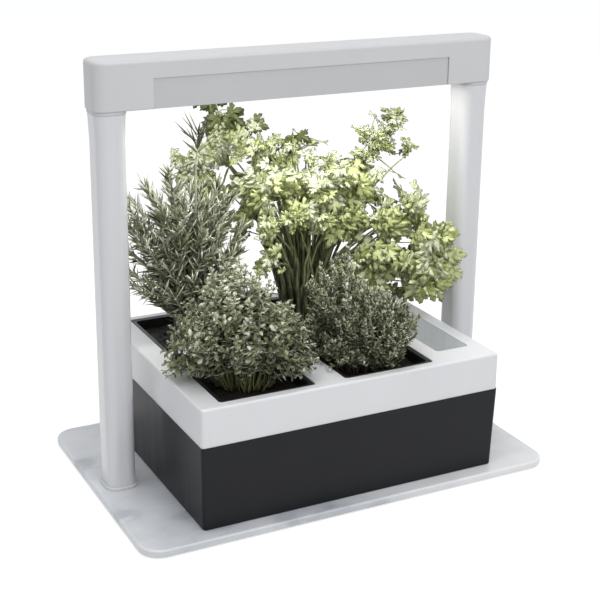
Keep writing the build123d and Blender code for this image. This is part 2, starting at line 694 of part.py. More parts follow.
# Tray: a deep rim on the box's edge, a lip inside it, four cells for the pots and the filling slot's well
lip_bottom = box_top - lip_depth
lip_inset = box_wall + box_draft * lip_depth / box_height + fixed_gap
with BuildPart() as top_tray:
    extrude(rounded_outline(rim_length, rim_depth, rim_corner_radius, box_top), amount=rim_height)
    fillet(top_tray.edges().group_by(Axis.Z)[-1], rim_edge_round)
    extrude(
        rounded_outline(rim_length - 2 * skirt_wall, rim_depth - 2 * skirt_wall, rim_corner_radius, box_top),
        amount=rim_height - deck_thickness,
        mode=Mode.SUBTRACT,
    )
    with BuildSketch(Plane.XY.offset(lip_bottom)):
        RectangleRounded(box_length - 2 * lip_inset, box_depth - 2 * lip_inset, box_corner_radius - box_wall)
        RectangleRounded(box_length - 2 * (lip_inset + lip_wall), box_depth - 2 * (lip_inset + lip_wall),
                         box_corner_radius - box_wall, mode=Mode.SUBTRACT)
    extrude(amount=lip_depth + lip_rise)
    for pot_x, pot_y in pot_places.values():
        cell_outside = cell_inside + 2 * cell_wall
        extrude(rounded_outline(cell_outside, cell_outside, pot_corner_radius + cell_wall, cell_bottom, pot_x, pot_y),
                amount=deck_top - deck_thickness - cell_bottom)
    extrude(
        rounded_outline(slot_width + 2 * cell_wall, slot_length + 2 * cell_wall, slot_corner_radius + cell_wall,
                        cell_bottom, slot_x),
        amount=deck_top - deck_thickness - cell_bottom,
    )
    for pot_x, pot_y in pot_places.values():
        extrude(rounded_outline(cell_inside, cell_inside, pot_corner_radius, cell_floor_top, pot_x, pot_y),
                amount=deck_top - cell_floor_top, mode=Mode.SUBTRACT)
        extrude(rounded_outline(pot_opening, pot_opening, pot_opening_radius, ledge_height, pot_x, pot_y),
                amount=deck_top - ledge_height, mode=Mode.SUBTRACT)
        with BuildSketch(Plane((pot_x, pot_y, cell_bottom))):
            Circle(wick_radius + wick_hole_play)
        extrude(amount=cell_floor, mode=Mode.SUBTRACT)
    extrude(rounded_outline(slot_width, slot_length, slot_corner_radius, cell_bottom, slot_x),
            amount=deck_top - cell_bottom, mode=Mode.SUBTRACT)
save(top_tray.part, "top_tray")

# Pots with their soil and wicks
pot_foot = pot_outside - 2 * pot_taper
taper_per_height = pot_taper / (ledge_height - pot_bottom)


def pot_section(height, inset, pot_x, pot_y):
    """The pot's tapered outline at a height, moved in by the inset."""
    size = pot_foot + 2 * taper_per_height * (height - pot_bottom) - 2 * inset
    return rounded_outline(size, size, pot_corner_radius - inset, height, pot_x, pot_y)


for place, (pot_x, pot_y) in pot_places.items():
    flange_size = pot_opening - 2 * pot_play
    pot_floor_top = pot_bottom + pot_floor
    with BuildPart() as pot:
        loft([pot_section(pot_bottom, 0, pot_x, pot_y), pot_section(ledge_height, 0, pot_x, pot_y)], ruled=True)
        extrude(rounded_outline(flange_size, flange_size, pot_opening_radius, ledge_height, pot_x, pot_y),
                amount=pot_flange_thickness)
        loft([pot_section(pot_floor_top, pot_wall, pot_x, pot_y), pot_section(pot_top, pot_wall, pot_x, pot_y)],
             ruled=True, mode=Mode.SUBTRACT)
        with BuildSketch(Plane((pot_x, pot_y, pot_bottom))):
            Circle(wick_radius + press_gap)
            with GridLocations(drain_hole_pitch, drain_hole_pitch, 2, 2):
                Circle(drain_hole_radius)
        extrude(amount=pot_floor, mode=Mode.SUBTRACT)
    save(pot.part, f"{place}_pot")

    soil_inset = pot_wall + press_gap
    with BuildPart() as soil:
        loft([pot_section(pot_floor_top, soil_inset, pot_x, pot_y), pot_section(soil_top, soil_inset, pot_x, pot_y)],
             ruled=True)
        with BuildSketch(Plane((pot_x, pot_y, pot_floor_top))):
            Circle(wick_radius + press_gap)
        extrude(amount=wick_rise, mode=Mode.SUBTRACT)
    save(soil.part, f"{place}_soil")

    wick_bottom = reservoir_floor + wick_floor_gap
    with BuildPart() as wick:
        with BuildSketch(Plane((pot_x, pot_y, wick_bottom))):
            Circle(wick_radius)
        extrude(amount=pot_floor_top + wick_rise - wick_bottom)
    save(wick.part, f"{place}_wick")


def sprig_section(middle, direction, radius):
    """A sprig's faceted outline, square to its direction."""
    with BuildSketch(Plane(origin=middle, z_dir=direction)) as outline:
        RegularPolygon(radius, sprig_sides)
    return outline.sketch


def sprig(root, tip, radius, tip_share=sprig_tip_share):
    """A sprig that is thin at its root, full at its belly and narrow at its tip."""
    direction = tip - root
    belly = root + direction * sprig_belly_share
    return loft([
        sprig_section(root, direction, radius * sprig_root_share),
        sprig_section(belly, direction, radius),
        sprig_section(tip, direction, radius * tip_share),
    ], ruled=True)


def bush(place, tip_shares, spread_x, spread_y, height, radius, crown_radius):
    """A herb of leaning sprigs that grow out of one crown on the soil."""
    pot_x, pot_y = pot_places[place]
    crown = Vector(pot_x, pot_y, soil_top)
    root_drop = Vector(0, 0, crown_height / 2)
    with BuildPart() as herb:
        extrude(sprig_section(crown, Vector(0, 0, 1), crown_radius), amount=crown_height)
        for x_share, y_share, height_share in tip_shares:
            tip = crown + Vector(x_share * spread_x, y_share * spread_y, height_share * height)
            lean = Vector(x_share, y_share, 0) * (crown_radius / 2)
            sprig(crown + root_drop + lean, tip, radius)
    return herb.part


save(bush("back_left", rosemary_tip_shares, rosemary_spread_x, rosemary_spread_y, rosemary_height,
          rosemary_sprig_radius, rosemary_crown_radius), "rosemary")
save(bush("front_left", thyme_tip_shares, thyme_spread_x, thyme_spread_y, thyme_height,
          thyme_sprig_radius, thyme_crown_radius), "thyme")
save(bush("front_right", savory_tip_shares, savory_spread_x, savory_spread_y, savory_height,
          savory_sprig_radius, savory_crown_radius), "savory")


def lobed_section(middle, direction, radius):
    """A leaf cluster's outline, lobed all round, square to its direction."""
    with BuildSketch(Plane(origin=middle, z_dir=direction)) as outline:
        with BuildLine():
            corners = [
                Vector(radius if k % 2 else radius * leaf_notch_share, 0).rotate(Axis.Z, 180 * k / leaf_lobes)
                for k in range(2 * leaf_lobes)
            ]
            Polyline(*corners, close=True)
        make_face()
    return outline.sketch


def leaf_cluster(middle, direction, radius):
    """A faceted cluster of leaves at the end of a stem, full at its middle and narrow below and above."""
    direction = direction.normalized()
    loft([
        lobed_section(middle - direction * (radius * cluster_under_share), direction, radius * cluster_narrow_share),
        lobed_section(middle, direction, radius),
        lobed_section(middle + direction * (radius * cluster_over_share), direction, radius * cluster_narrow_share),
    ], ruled=True)


# Parsley: stems that fan out of the crown, each with a leaf cluster, one of them far back beside the next pot
pot_x, pot_y = pot_places["back_right"]
parsley_foot = Vector(pot_x, pot_y, soil_top)
parsley_root = parsley_foot + Vector(0, 0, crown_height / 2)


def parsley_place(x_share, y_share, height_share):
    """A leaf cluster's middle from its shares of the spread and the height."""
    return parsley_foot + Vector(x_share * parsley_spread_x, y_share * parsley_spread_y,
                                 height_share * parsley_height)


with BuildPart() as parsley:
    extrude(sprig_section(parsley_foot, Vector(0, 0, 1), parsley_crown_radius), amount=crown_height)
    for x_share, y_share, height_share, radius_share in parsley_leaf_shares:
        cluster = parsley_place(x_share, y_share, height_share)
        lean = Vector(x_share, y_share, 0) * (parsley_crown_radius / 2)
        sprig(parsley_root + lean, cluster, parsley_stem_radius, tip_share=stem_tip_share)
        leaf_cluster(cluster, cluster - parsley_root, parsley_leaf_radius * radius_share)
    x_share, y_share, height_share, radius_share = parsley_far_leaf_shares
    near_cluster = parsley_place(*parsley_leaf_shares[0][:3])
    far_cluster = parsley_place(x_share, y_share, height_share)
    sprig(near_cluster, far_cluster, parsley_stem_radius, tip_share=stem_tip_share)
    leaf_cluster(far_cluster, Vector(0, 0, 1), parsley_leaf_radius * radius_share)
save(parsley.part, "parsley")
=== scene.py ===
import bpy
import json
import math
import numpy as np
from mathutils import Matrix, Vector


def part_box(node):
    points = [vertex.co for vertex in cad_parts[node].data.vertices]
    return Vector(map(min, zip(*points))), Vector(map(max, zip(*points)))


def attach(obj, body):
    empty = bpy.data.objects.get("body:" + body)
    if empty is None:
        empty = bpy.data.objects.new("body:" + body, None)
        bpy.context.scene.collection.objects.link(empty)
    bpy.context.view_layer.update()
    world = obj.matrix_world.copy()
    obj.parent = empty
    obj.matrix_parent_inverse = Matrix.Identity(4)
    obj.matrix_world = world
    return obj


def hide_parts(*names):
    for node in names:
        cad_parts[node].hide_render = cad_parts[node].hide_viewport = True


# The indoor herb planter: metres, X along the beam, the front faces -Y, Z up from the floor.
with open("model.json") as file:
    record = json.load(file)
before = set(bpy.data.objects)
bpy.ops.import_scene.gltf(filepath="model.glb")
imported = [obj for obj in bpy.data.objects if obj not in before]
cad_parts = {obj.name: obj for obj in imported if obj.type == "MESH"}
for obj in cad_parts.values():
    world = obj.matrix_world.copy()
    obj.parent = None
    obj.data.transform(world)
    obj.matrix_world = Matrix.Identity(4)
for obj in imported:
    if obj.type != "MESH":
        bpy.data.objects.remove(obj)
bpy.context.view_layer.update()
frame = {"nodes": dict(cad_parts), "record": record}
tray_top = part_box("top_tray")[1].z

MM = 0.001
UP = np.array((0.0, 0.0, 1.0))
ROUND = 6.28                # about a full turn: the range of a random angle
NEXT_STEM = 2.39996         # the turn from one stem of a bush to the next


def placed(name, data):
    """A new object in the scene."""
    made = bpy.data.objects.new(name, data)
    bpy.context.scene.collection.objects.link(made)
    return made


# Camera, where the photograph's stood: angles in degrees, lens and sensor in millimetres; the shift is in
# sensor widths, and downwards
camera_yaw, camera_pitch, camera_roll = 27.161, 17.075, 0.627
camera_eye = Vector((-635.1, -1242.3, 682.6)) * MM
camera_lens, camera_sensor, camera_shift = 77.98, 36.0, -0.0894
camera_clip = 0.05, 40.0


def photograph_camera():
    """A camera where the photograph's stood: turned to the right, a little above, looking down."""
    yaw, pitch, roll = (math.radians(v) for v in (camera_yaw, camera_pitch, camera_roll))
    forward = Vector((math.sin(yaw) * math.cos(pitch), math.cos(yaw) * math.cos(pitch), -math.sin(pitch)))
    level = Vector((math.cos(yaw), -math.sin(yaw), 0))
    upright = level.cross(forward)
    right = level * math.cos(roll) + upright * math.sin(roll)
    up = upright * math.cos(roll) - level * math.sin(roll)
    data = bpy.data.cameras.new("camera")
    data.sensor_width = camera_sensor
    data.lens = camera_lens
    data.shift_y = camera_shift
    data.clip_start, data.clip_end = camera_clip
    camera = placed("camera", data)
    turn = Matrix((right, up, -forward)).transposed().to_4x4()
    camera.matrix_world = Matrix.Translation(camera_eye) @ turn
    bpy.context.scene.camera = camera


photograph_camera()


# Materials
class Tree:
    """A node tree, built a node at a time."""

    def __init__(self, owner):
        owner.use_nodes = True
        self.tree = owner.node_tree
        self.tree.nodes.clear()

    def node(self, kind, fed=None, **settings):
        """A node with its settings, and what each of its sockets is fed."""
        made = self.tree.nodes.new(kind)
        for key, value in settings.items():
            setattr(made, key, value)
        for key, value in (fed or {}).items():
            self.feed(made.inputs[key], value)
        return made

    def feed(self, socket, value):
        """A socket gets a link, a number or a colour."""
        if isinstance(value, bpy.types.NodeSocket):
            self.tree.links.new(value, socket)
        elif isinstance(value, (int, float)):
            socket.default_value = value
        else:
            socket.default_value = (*value, 1.0)

    def calc(self, operation, *values):
        """The result of one sum on links and numbers."""
        return self.node("ShaderNodeMath", dict(enumerate(values)), operation=operation).outputs[0]

    def span(self, value, low, high, start=0.3, end=0.7):
        """A value's start to end turned into low to high."""
        fed = {"Value": value, "From Min": start, "From Max": end, "To Min": low, "To Max": high}
        return self.node("ShaderNodeMapRange", fed).outputs["Result"]

    def seen_directly(self):
        """1 for what the camera sees, directly, mirrored or through glass, and 0 for other light."""
        rays = self.node("ShaderNodeLightPath").outputs
        return self.calc("MAXIMUM", self.calc("MAXIMUM", rays["Is Camera Ray"], rays["Is Glossy Ray"]),
                         rays["Is Transmission Ray"])


class Paint(Tree):
    """A material round one Principled shader."""

    def __init__(self, name):
        self.material = bpy.data.materials.new(name)
        super().__init__(self.material)
        self.shader = self.node("ShaderNodeBsdfPrincipled")
        self.node("ShaderNodeOutputMaterial", {"Surface": self.shader.outputs["BSDF"]})
        self.place = self.node("ShaderNodeTexCoord").outputs["Object"]

    def finish(self, **values):
        """The material, with these sockets of its shader set."""
        for key, value in values.items():
            self.shader.inputs[key.replace("_", " ")].default_value = value
        return self.material

    def stretched(self, stretch):
        """The object's own place, with its axes scaled."""
        mapping = self.node("ShaderNodeMapping", {"Vector": self.place})
        mapping.inputs["Scale"].default_value = stretch
        return mapping.outputs["Vector"]

    def axes(self):
        """The object's own place as X, Y and Z."""
        return self.node("ShaderNodeSeparateXYZ", {"Vector": self.place}).outputs

    def growth(self):
        """What a plant's mesh carries at each point: its tone, the place along it and the place across it."""
        carried = self.node("ShaderNodeAttribute", attribute_name="growth").outputs["Color"]
        parts = self.node("ShaderNodeSeparateColor", {"Color": carried}).outputs
        return parts["Red"], parts["Green"], parts["Blue"]

    def noise(self, scale, detail=3.0, rough=0.55, vector=None):
        fed = {"Scale": scale, "Detail": detail, "Roughness": rough, "Vector": vector or self.place}
        return self.node("ShaderNodeTexNoise", fed).outputs["Fac"]

    def spots(self, scale, vector=None, feature="F1"):
        fed = {"Scale": scale, "Vector": vector or self.place}
        return self.node("ShaderNodeTexVoronoi", fed, feature=feature).outputs["Distance"]

    def ramp(self, value, stops):
        """Colours along a value: a list of places and colours."""
        made = self.node("ShaderNodeValToRGB", {"Fac": value})
        band = made.color_ramp
        while len(band.elements) < len(stops):
            band.elements.new(0.5)
        for element, (at, colour) in zip(band.elements, stops):
            element.position = at
            element.color = (*colour, 1.0)
        return made.outputs["Color"]

    def tones(self, value, colour, darker, paler):
        """One colour along a value, from darker to paler."""
        return self.ramp(value, [(0.3, shade(colour, darker)), (0.7, shade(colour, paler))])

    def mix(self, share, a, b, way="MIX"):
        """Two colours, each a link or a colour, mixed by a link or a number."""
        made = self.node("ShaderNodeMix", data_type="RGBA", blend_type=way)
        sockets = [s for s in made.inputs if s.type == "RGBA"]
        for socket, value in ((made.inputs["Factor"], share), (sockets[0], a), (sockets[1], b)):
            self.feed(socket, value)
        return [s for s in made.outputs if s.type == "RGBA"][0]

    def colour(self, value):
        self.feed(self.shader.inputs["Base Color"], value)

    def rough(self, value):
        self.feed(self.shader.inputs["Roughness"], value)

    def bump(self, *layers):
        """Heights laid over each other: each is a value and its depth in metres."""
        below = {}
        for height, depth in layers:
            fed = {"Strength": 1.0, "Distance": depth, "Height": height, **below}
            made = self.node("ShaderNodeBump", fed)
            below = {"Normal": made.outputs["Normal"]}
        self.feed(self.shader.inputs["Normal"], made.outputs["Normal"])


def shade(colour, factor):
    return tuple(min(1.0, c * factor) for c in colour)


def moulded(name, colour, rough, spread=0.03, cloud=18.0, grain=1500.0, depth=0.00004, gloss=0.05,
            wave=0.00004, stretch=(1.0, 1.0, 1.0), **values):
    """Moulded plastic or paint: soft clouds of tone, a fine grain and a roughness that varies a little."""
    p = Paint(name)
    drift = p.stretched(stretch)
    p.colour(p.tones(p.noise(cloud, 4.0, 0.55, drift), colour, 1 - spread, 1 + spread))
    p.rough(p.span(p.noise(cloud * 3, 3.0, 0.55, drift), max(0.05, rough - gloss), rough + gloss))
    p.bump((p.noise(cloud * 1.7, 2.0, 0.5, drift), wave), (p.noise(grain, 2.0, 0.7), depth))
    return p.finish(**values)


def drawn(name, colour, rough, stretch, spread=0.05, depth=0.00003, **values):
    """Metal drawn or brushed in one direction, with fine streaks along it."""
    p = Paint(name)
    lines = p.noise(900.0, 4.0, 0.7, p.stretched(stretch))
    p.colour(p.mix(0.5, p.tones(lines, colour, 1 - spread, 1 + spread),
                   p.tones(p.noise(14.0), colour, 1 - spread, 1 + spread)))
    p.rough(p.span(lines, rough - 0.1, rough + 0.1))
    p.bump((lines, depth))
    return p.finish(**values)


def brushed_plate(name):
    """The base plate's pale satin paint: clouded, with blue-grey patches of painted soft reflection and a
    gloss that varies.
    """
    p = Paint(name)
    wide = p.noise(8.0, 2.0, 0.45)
    patches = p.noise(17.0, 4.0, 0.55, p.stretched((0.6, 1.0, 1.0)))
    base = p.ramp(wide, [(0.32, (0.560, 0.582, 0.615)), (0.46, (0.690, 0.704, 0.726)),
                         (0.60, (0.775, 0.785, 0.800))])
    # Blue-grey to white streaks laid over the clouds: painted soft reflections
    painted_reflections = p.ramp(patches, [(0.36, (0.70, 0.72, 0.75)), (0.45, (0.94, 0.95, 0.96)),
                             (0.60, (1.05, 1.05, 1.05))])
    # Painted light and shade: it is a little brighter towards its right end and darker towards its left
    end = 0.24
    painted_light_slope = p.ramp(p.span(p.axes()["X"], 0.0, 1.0, -end, end),
                   [(0.0, (0.93, 0.93, 0.94)), (1.0, (1.06, 1.05, 1.04))])
    p.colour(p.mix(1.0, p.mix(1.0, base, painted_reflections, "MULTIPLY"), painted_light_slope, "MULTIPLY"))
    p.rough(p.span(p.noise(26.0, 2.0, 0.5), 0.30, 0.42))
    p.bump((wide, 0.0001), (p.noise(1400.0, 2.0, 0.7), 0.00002))
    return p.finish(Specular_IOR_Level=0.5, Coat_Weight=0.15, Coat_Roughness=0.25)


def charcoal_grain(name):
    """The box's charcoal plastic: a fine leathery grain, with faint upright streaks of painted sheen in its
    colour, along which the gloss varies too.
    """
    p = Paint(name)
    sheen_streaks = p.noise(60.0, 3.0, 0.6, p.stretched((1.0, 1.0, 0.12)))
    base = p.ramp(p.noise(9.0, 4.0), [(0.3, (0.0078, 0.0082, 0.0102)), (0.7, (0.0105, 0.0109, 0.0132))])
    # Upright streaks of painted sheen, a little paler than the grain
    lines = p.ramp(sheen_streaks, [(0.3, (0.0080, 0.0084, 0.0104)), (0.7, (0.0112, 0.0117, 0.0141))])
    p.colour(p.mix(0.35, base, lines))
    p.rough(p.span(sheen_streaks, 0.38, 0.45))
    p.bump((p.spots(900.0), 0.00005), (p.noise(2600.0, 2.0), 0.00002))
    return p.finish(Specular_IOR_Level=0.20)


def soil_ground(name, dark):
    """Potting soil: near black with brown crumbs, bark fibres and a damp sheen in places."""
    p = Paint(name)
    fine = p.noise(900.0, 5.0, 0.7)
    fibres = p.noise(240.0, 4.0, 0.7, p.stretched((0.25, 1.0, 1.0)))
    base = p.ramp(fine, [(at, shade(colour, dark)) for at, colour in (
        (0.25, (0.006, 0.0045, 0.0035)), (0.5, (0.021, 0.0145, 0.0098)), (0.68, (0.050, 0.033, 0.021)),
        (0.82, (0.13, 0.089, 0.055)))])
    bark = p.ramp(fibres, [(0.6, shade((0.020, 0.013, 0.009), dark)),
                           (0.74, shade((0.115, 0.07, 0.04), dark))])
    p.colour(p.mix(p.span(fibres, 0.0, 0.6, 0.6, 0.7), base, bark))
    p.rough(p.span(p.noise(35.0), 0.55, 0.95))
    p.bump((p.spots(420.0), 0.0009), (fine, 0.0005))
    return p.finish(Specular_IOR_Level=0.3)


def leafy(name, dark, middle, pale, edge, vein, patch, edge_share, vein_share, rough=0.5, grain=700.0,
          grain_depth=0.0001, mottling=0.14):
    """Leaves: each has its own tone, which carries painted light and shade, with a paler edge, a midrib and
    fine mottling.
    """
    p = Paint(name)
    tone, along, across = p.growth()
    mottle = p.noise(patch, 4.0, 0.65)
    moved = p.calc("ADD", tone, p.span(mottle, -mottling, mottling))
    # Dark to pale along the tone: dark for painted shade, the palest stop a painted highlight
    body = p.ramp(moved, [(0.02, dark), (0.5, middle), (0.98, pale)])
    body = p.mix(p.span(across, edge_share, 0.0, 0.0, 0.45), body, edge)
    body = p.mix(p.span(across, 0.0, vein_share, 0.86, 1.0), body, vein)
    root_dark = p.ramp(p.span(along, 0.72, 1.0, 0.0, 0.35), [(0.0, (0, 0, 0)), (1.0, (1, 1, 1))])
    p.colour(p.mix(1.0, body, root_dark, "MULTIPLY"))
    p.rough(p.span(mottle, rough - 0.1, rough + 0.12))
    p.bump((p.noise(grain), grain_depth))
    return p.finish()


def stalky(name, dark, pale, rough=0.6):
    """Stems: streaked along, and darker at the foot as painted shade low in the plant."""
    p = Paint(name)
    streak = p.noise(260.0, 4.0, 0.7, p.stretched((1.0, 1.0, 0.15)))
    tone = p.calc("ADD", p.growth()[0], p.span(streak, -0.25, 0.25))
    p.colour(p.ramp(tone, [(0.0, dark), (1.0, pale)]))
    p.rough(p.span(streak, rough - 0.12, rough + 0.12))
    p.bump((streak, 0.0002))
    return p.finish()


def woven_wick(name):
    """Felted wick fibre: pale, with fine crossing strands."""
    p = Paint(name)
    strands = p.noise(700.0, 4.0, 0.75, p.stretched((1.0, 1.0, 0.2)))
    p.colour(p.mix(0.5, p.ramp(strands, [(0.3, (0.50, 0.47, 0.41)), (0.7, (0.78, 0.75, 0.68))]),
                   p.ramp(p.noise(40.0), [(0.35, (0.45, 0.40, 0.32)), (0.7, (0.74, 0.71, 0.65))])))
    p.rough(p.span(strands, 0.85, 1.0))
    p.bump((strands, 0.0004))
    return p.finish()


def tray_plastic(name, colour):
    """The tray's white plastic, with painted light inside the filling slot: its walls there are paler and
    bluer, lifting the shade in the slot.
    """
    slot_x, slot_half_width, slot_half_length = 0.1405, 0.0215, 0.1100
    below_rim = tray_top - 0.0015
    p = Paint(name)
    plain = p.tones(p.noise(12.0, 4.0), colour, 0.985, 1.012)
    painted_light_walls = p.ramp(p.noise(70.0, 3.0, 0.5, p.stretched((1.0, 1.0, 0.1))),
                   [(0.35, (0.90, 0.94, 0.98)), (0.65, (0.98, 0.99, 1.0))])
    place = p.axes()
    inside = p.calc("MULTIPLY", p.calc("COMPARE", place["X"], slot_x, slot_half_width),
                    p.calc("COMPARE", place["Y"], 0.0, slot_half_length))
    # Painted light: the slot's walls below the rim take the paler, bluer colour
    p.colour(p.mix(p.calc("MULTIPLY", inside, p.calc("LESS_THAN", place["Z"], below_rim)), plain, painted_light_walls))
    p.rough(p.span(p.noise(36.0), 0.34, 0.42))
    p.bump((p.noise(20.0, 2.0, 0.5), 0.00003), (p.noise(1900.0, 2.0, 0.7), 0.00002))
    return p.finish(Specular_IOR_Level=0.5)


def lit_panel(name):
    """The lamp's milky diffuser, lit by the chips behind it."""
    p = Paint(name)
    rows = p.noise(60.0, 2.0)
    p.colour(p.ramp(rows, [(0.3, (0.90, 0.89, 0.86)), (0.7, (0.94, 0.94, 0.92))]))
    p.rough(p.span(rows, 0.35, 0.5))
    p.bump((p.noise(1800.0, 2.0), 0.00003))
    return p.finish(Emission_Color=(1.0, 0.985, 0.95, 1.0), Emission_Strength=10.5)


def circuit(name, base, trace):
    """A lacquered circuit board with faint copper runs under the lacquer."""
    p = Paint(name)
    runs = p.spots(160.0, p.stretched((1.0, 2.2, 1.0)), "DISTANCE_TO_EDGE")
    p.colour(p.mix(p.span(runs, 1.0, 0.0, 0.0, 0.03), base, trace))
    p.rough(p.span(p.noise(200.0, 2.0), 0.25, 0.4))
    p.bump((runs, 0.00008))
    return p.finish(Specular_IOR_Level=0.55)


# One material for each of the record's slots that a CAD solid shows
materials = {
    "plate_grey": brushed_plate("plate_paint"),
    "screw_steel": drawn("screw_steel", (0.52, 0.52, 0.53), 0.32, (1.0, 1.0, 6.0), Metallic=1.0),
    "light_grey": moulded("beam_plastic", (0.616, 0.616, 0.628), 0.42, spread=0.02, cloud=11.0, grain=1700.0,
                          depth=0.00002, gloss=0.03, wave=0.00003, Specular_IOR_Level=0.5),
    "post_grey": moulded("post_paint", (0.675, 0.680, 0.700), 0.30, spread=0.025, cloud=30.0, grain=1300.0,
                         depth=0.000015, gloss=0.02, wave=0.00001, stretch=(1.0, 1.0, 0.03),
                         Specular_IOR_Level=0.5, Coat_Weight=0.5, Coat_Roughness=0.22),
    "lamp_grey": drawn("lamp_aluminium", (0.520, 0.520, 0.532), 0.40, (0.02, 1.0, 1.0), spread=0.03,
                       depth=0.00002, Specular_IOR_Level=0.5, Metallic=0.25),
    "diffuser_white": lit_panel("lamp_diffuser"),
    "board_white": circuit("chip_board", (0.78, 0.78, 0.75), (0.62, 0.60, 0.54)),
    "board_green": circuit("driver_laminate", (0.012, 0.11, 0.045), (0.05, 0.24, 0.09)),
    "pin_brass": drawn("pin_brass", (0.62, 0.46, 0.20), 0.28, (1.0, 0.1, 1.0), depth=0.00001, Metallic=1.0),
    "charcoal": charcoal_grain("box_charcoal"),
    "tray_white": tray_plastic("tray_plastic", (0.770, 0.777, 0.793)),
    "soil": soil_ground("soil_mix", 0.6),
    "wick_fibre": woven_wick("wick_felt"),
}

# The plain moulded ones: name, colour, roughness, spread of tone, scale of its clouds, grain and its depth
for slot, *look in (
    ("foot_rubber", "foot_rubber", (0.035, 0.035, 0.037), 0.8, 0.12, 60.0, 900.0, 0.0001),
    ("led_emitter", "chip_resin", (0.80, 0.66, 0.22), 0.3, 0.08, 300.0, 2500.0, 0.00002),
    ("white_nylon", "white_nylon", (0.80, 0.80, 0.77), 0.45, 0.03, 120.0),
    ("component_black", "component_epoxy", (0.022, 0.022, 0.024), 0.4, 0.15, 150.0, 2400.0, 0.00003),
    ("lead_red", "lead_sleeve", (0.45, 0.025, 0.02), 0.4, 0.08, 200.0),
    ("button_grey", "button_plastic", (0.30, 0.31, 0.33), 0.45, 0.05, 150.0),
    ("pot_black", "pot_plastic", (0.013, 0.013, 0.0135), 0.42, 0.2, 45.0, 1300.0, 0.00005),
):
    materials[slot] = moulded(*look)

slot_of = {row["node"]: row["material_slot"] for row in frame["record"]["subparts"]}
for name, part in frame["nodes"].items():
    if slot_of[name] in materials:
        for slot in part.material_slots:
            slot.material = materials[slot_of[name]]


# Growing plants, as meshes
def unit(v):
    v = np.asarray(v, float)
    return v / (np.linalg.norm(v) + 1e-12)


def triangles(faces):
    """Faces of three or four corners as triangles."""
    made = []
    for f in faces:
        made.append((f[0], f[1], f[2]))
        if len(f) == 4:
            made.append((f[0], f[2], f[3]))
    return np.array(made, int)


class Growth:
    """One mesh of many closed leaves, stems or crumbs; a point carries a tone and its place on the leaf."""

    def __init__(self):
        self.points, self.faces, self.carried, self.count = [], [], [], 0

    def add(self, points, faces, carried):
        self.points.append(points)
        self.faces.append(faces + self.count)
        self.carried.append(carried)
        self.count += len(points)

    def leaf(self, shape, root, direction, facing, length, width, thickness, tone):
        """A copy of a leaf shape: along its direction, its upper side towards the facing."""
        along = unit(direction)
        side = np.cross(facing, along)
        if np.linalg.norm(side) < 1e-6:
            side = np.cross((0.3, 0.2, 1.0), along)
        side = unit(side)
        axes = np.array([along, side, np.cross(along, side)])
        points = np.asarray(root) + (shape["points"] * (length, width, thickness)) @ axes
        carried = shape["carried"].copy()
        carried[:, 0] = min(1.0, max(0.0, tone))
        self.add(points, shape["faces"], carried)

    def tube(self, path, radii, sides, tone, tip_tone):
        """A closed round stem along a path, thinner or thicker from point to point."""
        path = np.asarray(path, float)
        n = len(path)
        lead = np.gradient(path, axis=0)
        lead /= np.linalg.norm(lead, axis=1)[:, None] + 1e-12
        across = np.cross(lead, (0.31, 0.17, 0.05) if abs(lead[0][2]) > 0.5 else (0.1, 0.2, 1.0))
        across /= np.linalg.norm(across, axis=1)[:, None] + 1e-12
        other = np.cross(lead, across)
        angles = np.arange(sides) * 2 * math.pi / sides
        ring = (np.cos(angles)[None, :, None] * across[:, None, :]
                + np.sin(angles)[None, :, None] * other[:, None, :])
        points = (path[:, None, :] + ring * np.asarray(radii)[:, None, None]).reshape(-1, 3)
        faces = []
        for i in range(n - 1):
            for k in range(sides):
                a, b = i * sides + k, i * sides + (k + 1) % sides
                faces.append((a, b, b + sides, a + sides))
        points = np.vstack([points, path[0], path[-1]])
        for k in range(sides):
            faces.append((n * sides, (k + 1) % sides, k))
            faces.append((n * sides + 1, (n - 1) * sides + k, (n - 1) * sides + (k + 1) % sides))
        carried = np.ones((len(points), 4))
        share = np.concatenate([np.repeat(np.linspace(0, 1, n), sides), [0, 1]])
        carried[:, 0] = tone + (tip_tone - tone) * share
        carried[:, 1] = share
        carried[:, 2] = 0.7
        self.add(points, triangles(faces), carried)

    def build(self, name, material, body, record_slot, replaced=(), smooth=True):
        points, faces = np.vstack(self.points), np.vstack(self.faces)
        mesh = bpy.data.meshes.new(name)
        mesh.from_pydata(points.tolist(), [], faces.tolist())
        layer = mesh.attributes.new("growth", "FLOAT_COLOR", "POINT")
        layer.data.foreach_set("color", np.vstack(self.carried).astype(np.float32).ravel())
        mesh.polygons.foreach_set("use_smooth", [smooth] * len(mesh.polygons))
        mesh.materials.append(material)
        mesh.update()
        piece = placed(name, mesh)
        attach(piece, body)
        for node in replaced:
            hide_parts(node)


def blade(stations, cup):
    """A slim leaf of unit length and half width, its edges raised by the cup.

    The stations are places along it with the width there, and it is pointed where the width is 0."""
    points, carried, rows = [], [], []
    for x, w in stations:
        if w == 0:
            rows.append([len(points)])
            points.append((x, 0, 0))
            carried.append((0, x, 0.8, 1))
        else:
            rows.append(list(range(len(points), len(points) + 4)))
            points += [(x, w, cup * w), (x, 0, 0.5), (x, -w, cup * w), (x, 0, -0.5)]
            carried += [(0, x, 0, 1), (0, x, 1, 1), (0, x, 0, 1), (0, x, 0.8, 1)]
    faces = []
    for a, b in zip(rows, rows[1:]):
        for k in range(4):
            m = (k + 1) % 4
            if len(a) == 1:
                faces.append((a[0], b[k], b[m]))
            elif len(b) == 1:
                faces.append((a[m], a[k], b[0]))
            else:
                faces.append((a[m], a[k], b[k], b[m]))
    if len(rows[0]) == 4:
        faces.append(tuple(rows[0]))
    return {"points": np.array(points, float), "carried": np.array(carried, float), "faces": triangles(faces)}


def bent(shape, curl):
    """The shape drooping along its length, in shares of its length for a thickness of one."""
    made = dict(shape)
    made["points"] = shape["points"].copy()
    made["points"][:, 2] -= curl * made["points"][:, 0] ** 2
    return made


